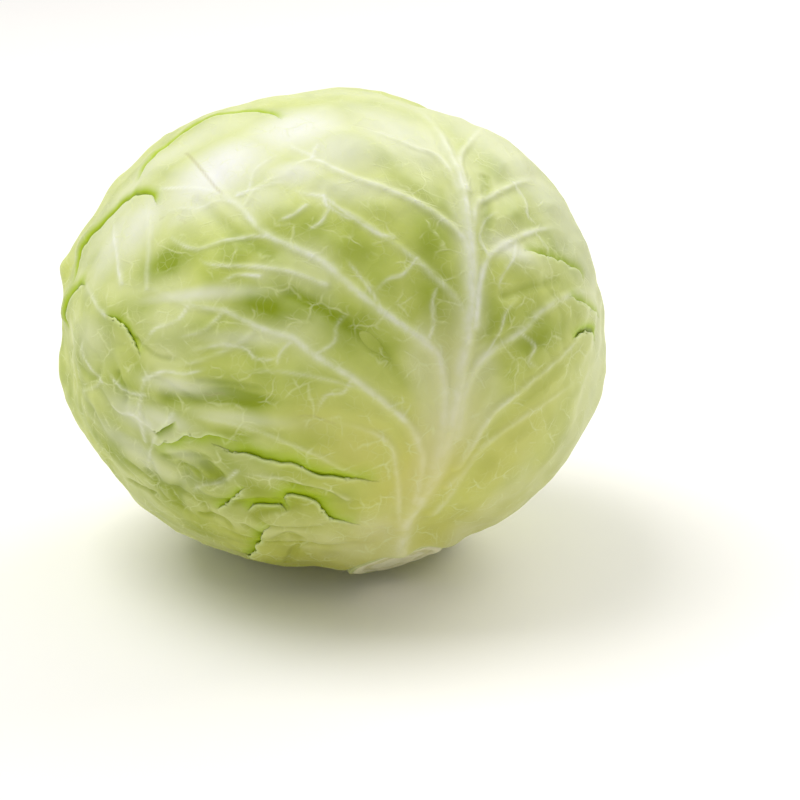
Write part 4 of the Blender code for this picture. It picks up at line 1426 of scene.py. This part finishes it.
def stem_piece():
    """The stump: a cone with a rounded rim, faint scars of cut leaves and a flat cut face."""
    deselect_all()
    bpy.ops.mesh.primitive_uv_sphere_add(segments=STEM_SEGMENTS, ring_count=STEM_RINGS, radius=1.0)
    piece = bpy.context.active_object
    piece.name = "stem_stump"
    mesh = piece.data
    ball = mesh_points(mesh)
    rim = STEM_CUT * STUMP_SLOPE
    stops = [stop for stop, *_ in STUMP_PROFILE] + [STUMP_ROOT_PLACE, 1.0]
    heights = [STEM_CUT + out for _, out, _, _ in STUMP_PROFILE] + [STEM_ROOT, STEM_ROOT]
    radii = [rim * share + more for _, _, share, more in STUMP_PROFILE] + [STEM_ROOT * STUMP_SLOPE, 0.0]
    down = 1.0 - np.arccos(np.clip(ball[:, 2], -1.0, 1.0)) / math.pi
    angle = np.arctan2(ball[:, 1], ball[:, 0])
    height = np.interp(down, stops, heights)
    radius = np.interp(down, stops, radii)
    across, along = np.cos(angle), np.sin(angle)
    face = down < FACE_PLACE
    share = radius / rim
    grain_place = np.column_stack((across, along)) * share[:, None] * FACE_GRAIN_SIZE
    grain = RIPPLE(unit(np.column_stack((grain_place, np.ones(len(share))))))
    ring = bell((share - FACE_RING) / FACE_RING_WIDTH)
    buckle = BUCKLE(unit(np.column_stack((across, along, height / SIDE_BUCKLE_LENGTH))))
    height = height + np.where(face, FACE_GRAIN * grain - FACE_RING_DEPTH * ring, 0.0)
    ribs = np.sin(SIDE_RIBS * angle + height)
    radius = radius * np.where(face, 1.0, 1.0 + SIDE_BUCKLE * buckle + SIDE_RIB_SHARE * ribs)
    axis = unit(STEM * SEMI_AXES)
    outward = across[:, None] * FRONT + along[:, None] * np.cross(-axis, FRONT)
    settle(mesh, (height[:, None] * axis + radius[:, None] * outward) @ TO_WORLD.T)
    stem_place = np.column_stack((across * radius, along * radius, np.where(face, share, 1.0)))
    store(mesh, "stem_place", stem_place)
    mesh.shade_smooth()
    mesh.set_sharp_from_angle(angle=math.radians(STEM_SMOOTH_ANGLE))
    return piece


def finish_piece(piece, node, material):
    piece.data.materials.clear()
    piece.data.materials.append(material)
    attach(piece, "root")
    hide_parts(node)


# The studio. Each light has its place, width, height, power and tint.
FLOOR_SIZE = 8.0
FLOOR_ROUGHNESS = 0.7
AIR_STRENGTH = 0.55
KEY_LIGHT = ((-0.5, 0.02, 1.15), 0.8, 0.8, 9.7, (1.0, 0.995, 0.985))
BACK_LIGHT = ((0.75, 0.65, 0.8), 0.9, 0.7, 7.0, (1.0, 0.98, 0.95))
LIGHTS_AIM = mathutils.Vector((0.0, 0.0, 0.07))
CAMERA_CLIP = 0.01


def soft_light(name, place_at, width, height, power, tint):
    """A soft rectangular light that faces the head."""
    light = bpy.data.lights.new(name, "AREA")
    light.shape = "RECTANGLE"
    light.size = width
    light.size_y = height
    light.energy = power
    light.color = tint
    lamp = bpy.data.objects.new(name, light)
    bpy.context.scene.collection.objects.link(lamp)
    lamp.location = place_at
    lamp.rotation_euler = (LIGHTS_AIM - lamp.location).to_track_quat("-Z", "Y").to_euler()


def studio():
    """A plain pale floor and white air, with soft light from the upper left and from behind."""
    deselect_all()
    bpy.ops.mesh.primitive_plane_add(size=FLOOR_SIZE, location=(0.0, 0.0, 0.0))
    floor = bpy.context.active_object
    floor.name = "studio_floor"
    shader = Shader("studio_floor")
    shader.set("Base Color", FLOOR_WHITE)
    shader.set("Roughness", FLOOR_ROUGHNESS)
    floor.data.materials.append(shader.material)
    bpy.context.scene.view_settings.view_transform = "Standard"
    world = bpy.data.worlds.new("studio_air")
    world.use_nodes = True
    background = world.node_tree.nodes["Background"]
    background.inputs["Color"].default_value = (1.0, 1.0, 1.0, 1.0)
    background.inputs["Strength"].default_value = AIR_STRENGTH
    bpy.context.scene.world = world
    soft_light("key", *KEY_LIGHT)
    soft_light("back", *BACK_LIGHT)


def photo_camera():
    """The camera at the photo's angle, aimed past the head's middle as the photo is framed."""
    view = bpy.data.cameras.new("camera")
    view.sensor_width = SENSOR_WIDTH
    view.lens = SENSOR_WIDTH * PIXELS_PER_MM * CAMERA_DISTANCE / PHOTO_SIZE
    view.clip_start = CAMERA_CLIP
    camera = bpy.data.objects.new("camera", view)
    bpy.context.scene.collection.objects.link(camera)
    tilt = math.radians(VIEW_ELEVATION)
    back = np.array((0.0, -math.cos(tilt), math.sin(tilt)))
    up = np.array((0.0, math.sin(tilt), math.cos(tilt)))
    right = (PHOTO_SIZE / 2 - PHOTO_MIDDLE[0]) / PIXELS_PER_MM
    low = (PHOTO_MIDDLE[1] - PHOTO_SIZE / 2) / PIXELS_PER_MM
    spot = HEAD_MIDDLE + CAMERA_DISTANCE * back + right * VIEW_RIGHT + low * up
    camera.location = spot / MM_PER_METRE
    camera.rotation_euler = (math.radians(90.0 - VIEW_ELEVATION), 0.0, 0.0)
    bpy.context.scene.camera = camera


front = front_leaf()
leaves = [front]
for number, size in enumerate(INNER_LEAVES, 1):
    leaves.append(inner_leaf(number, size, leaves))
for leaf in leaves:
    blade = leaf_piece(leaf, FRONT_CELLS if leaf is front else LEAF_CELLS)
    material = leaf_material(leaf.name, leaf.number)
    finish_piece(blade, leaf.name, material)
finish_piece(heart_piece(leaves), "heart", leaf_material("heart", HEART_SEED))
finish_piece(stem_piece(), "stem", stem_material())
studio()
photo_camera()
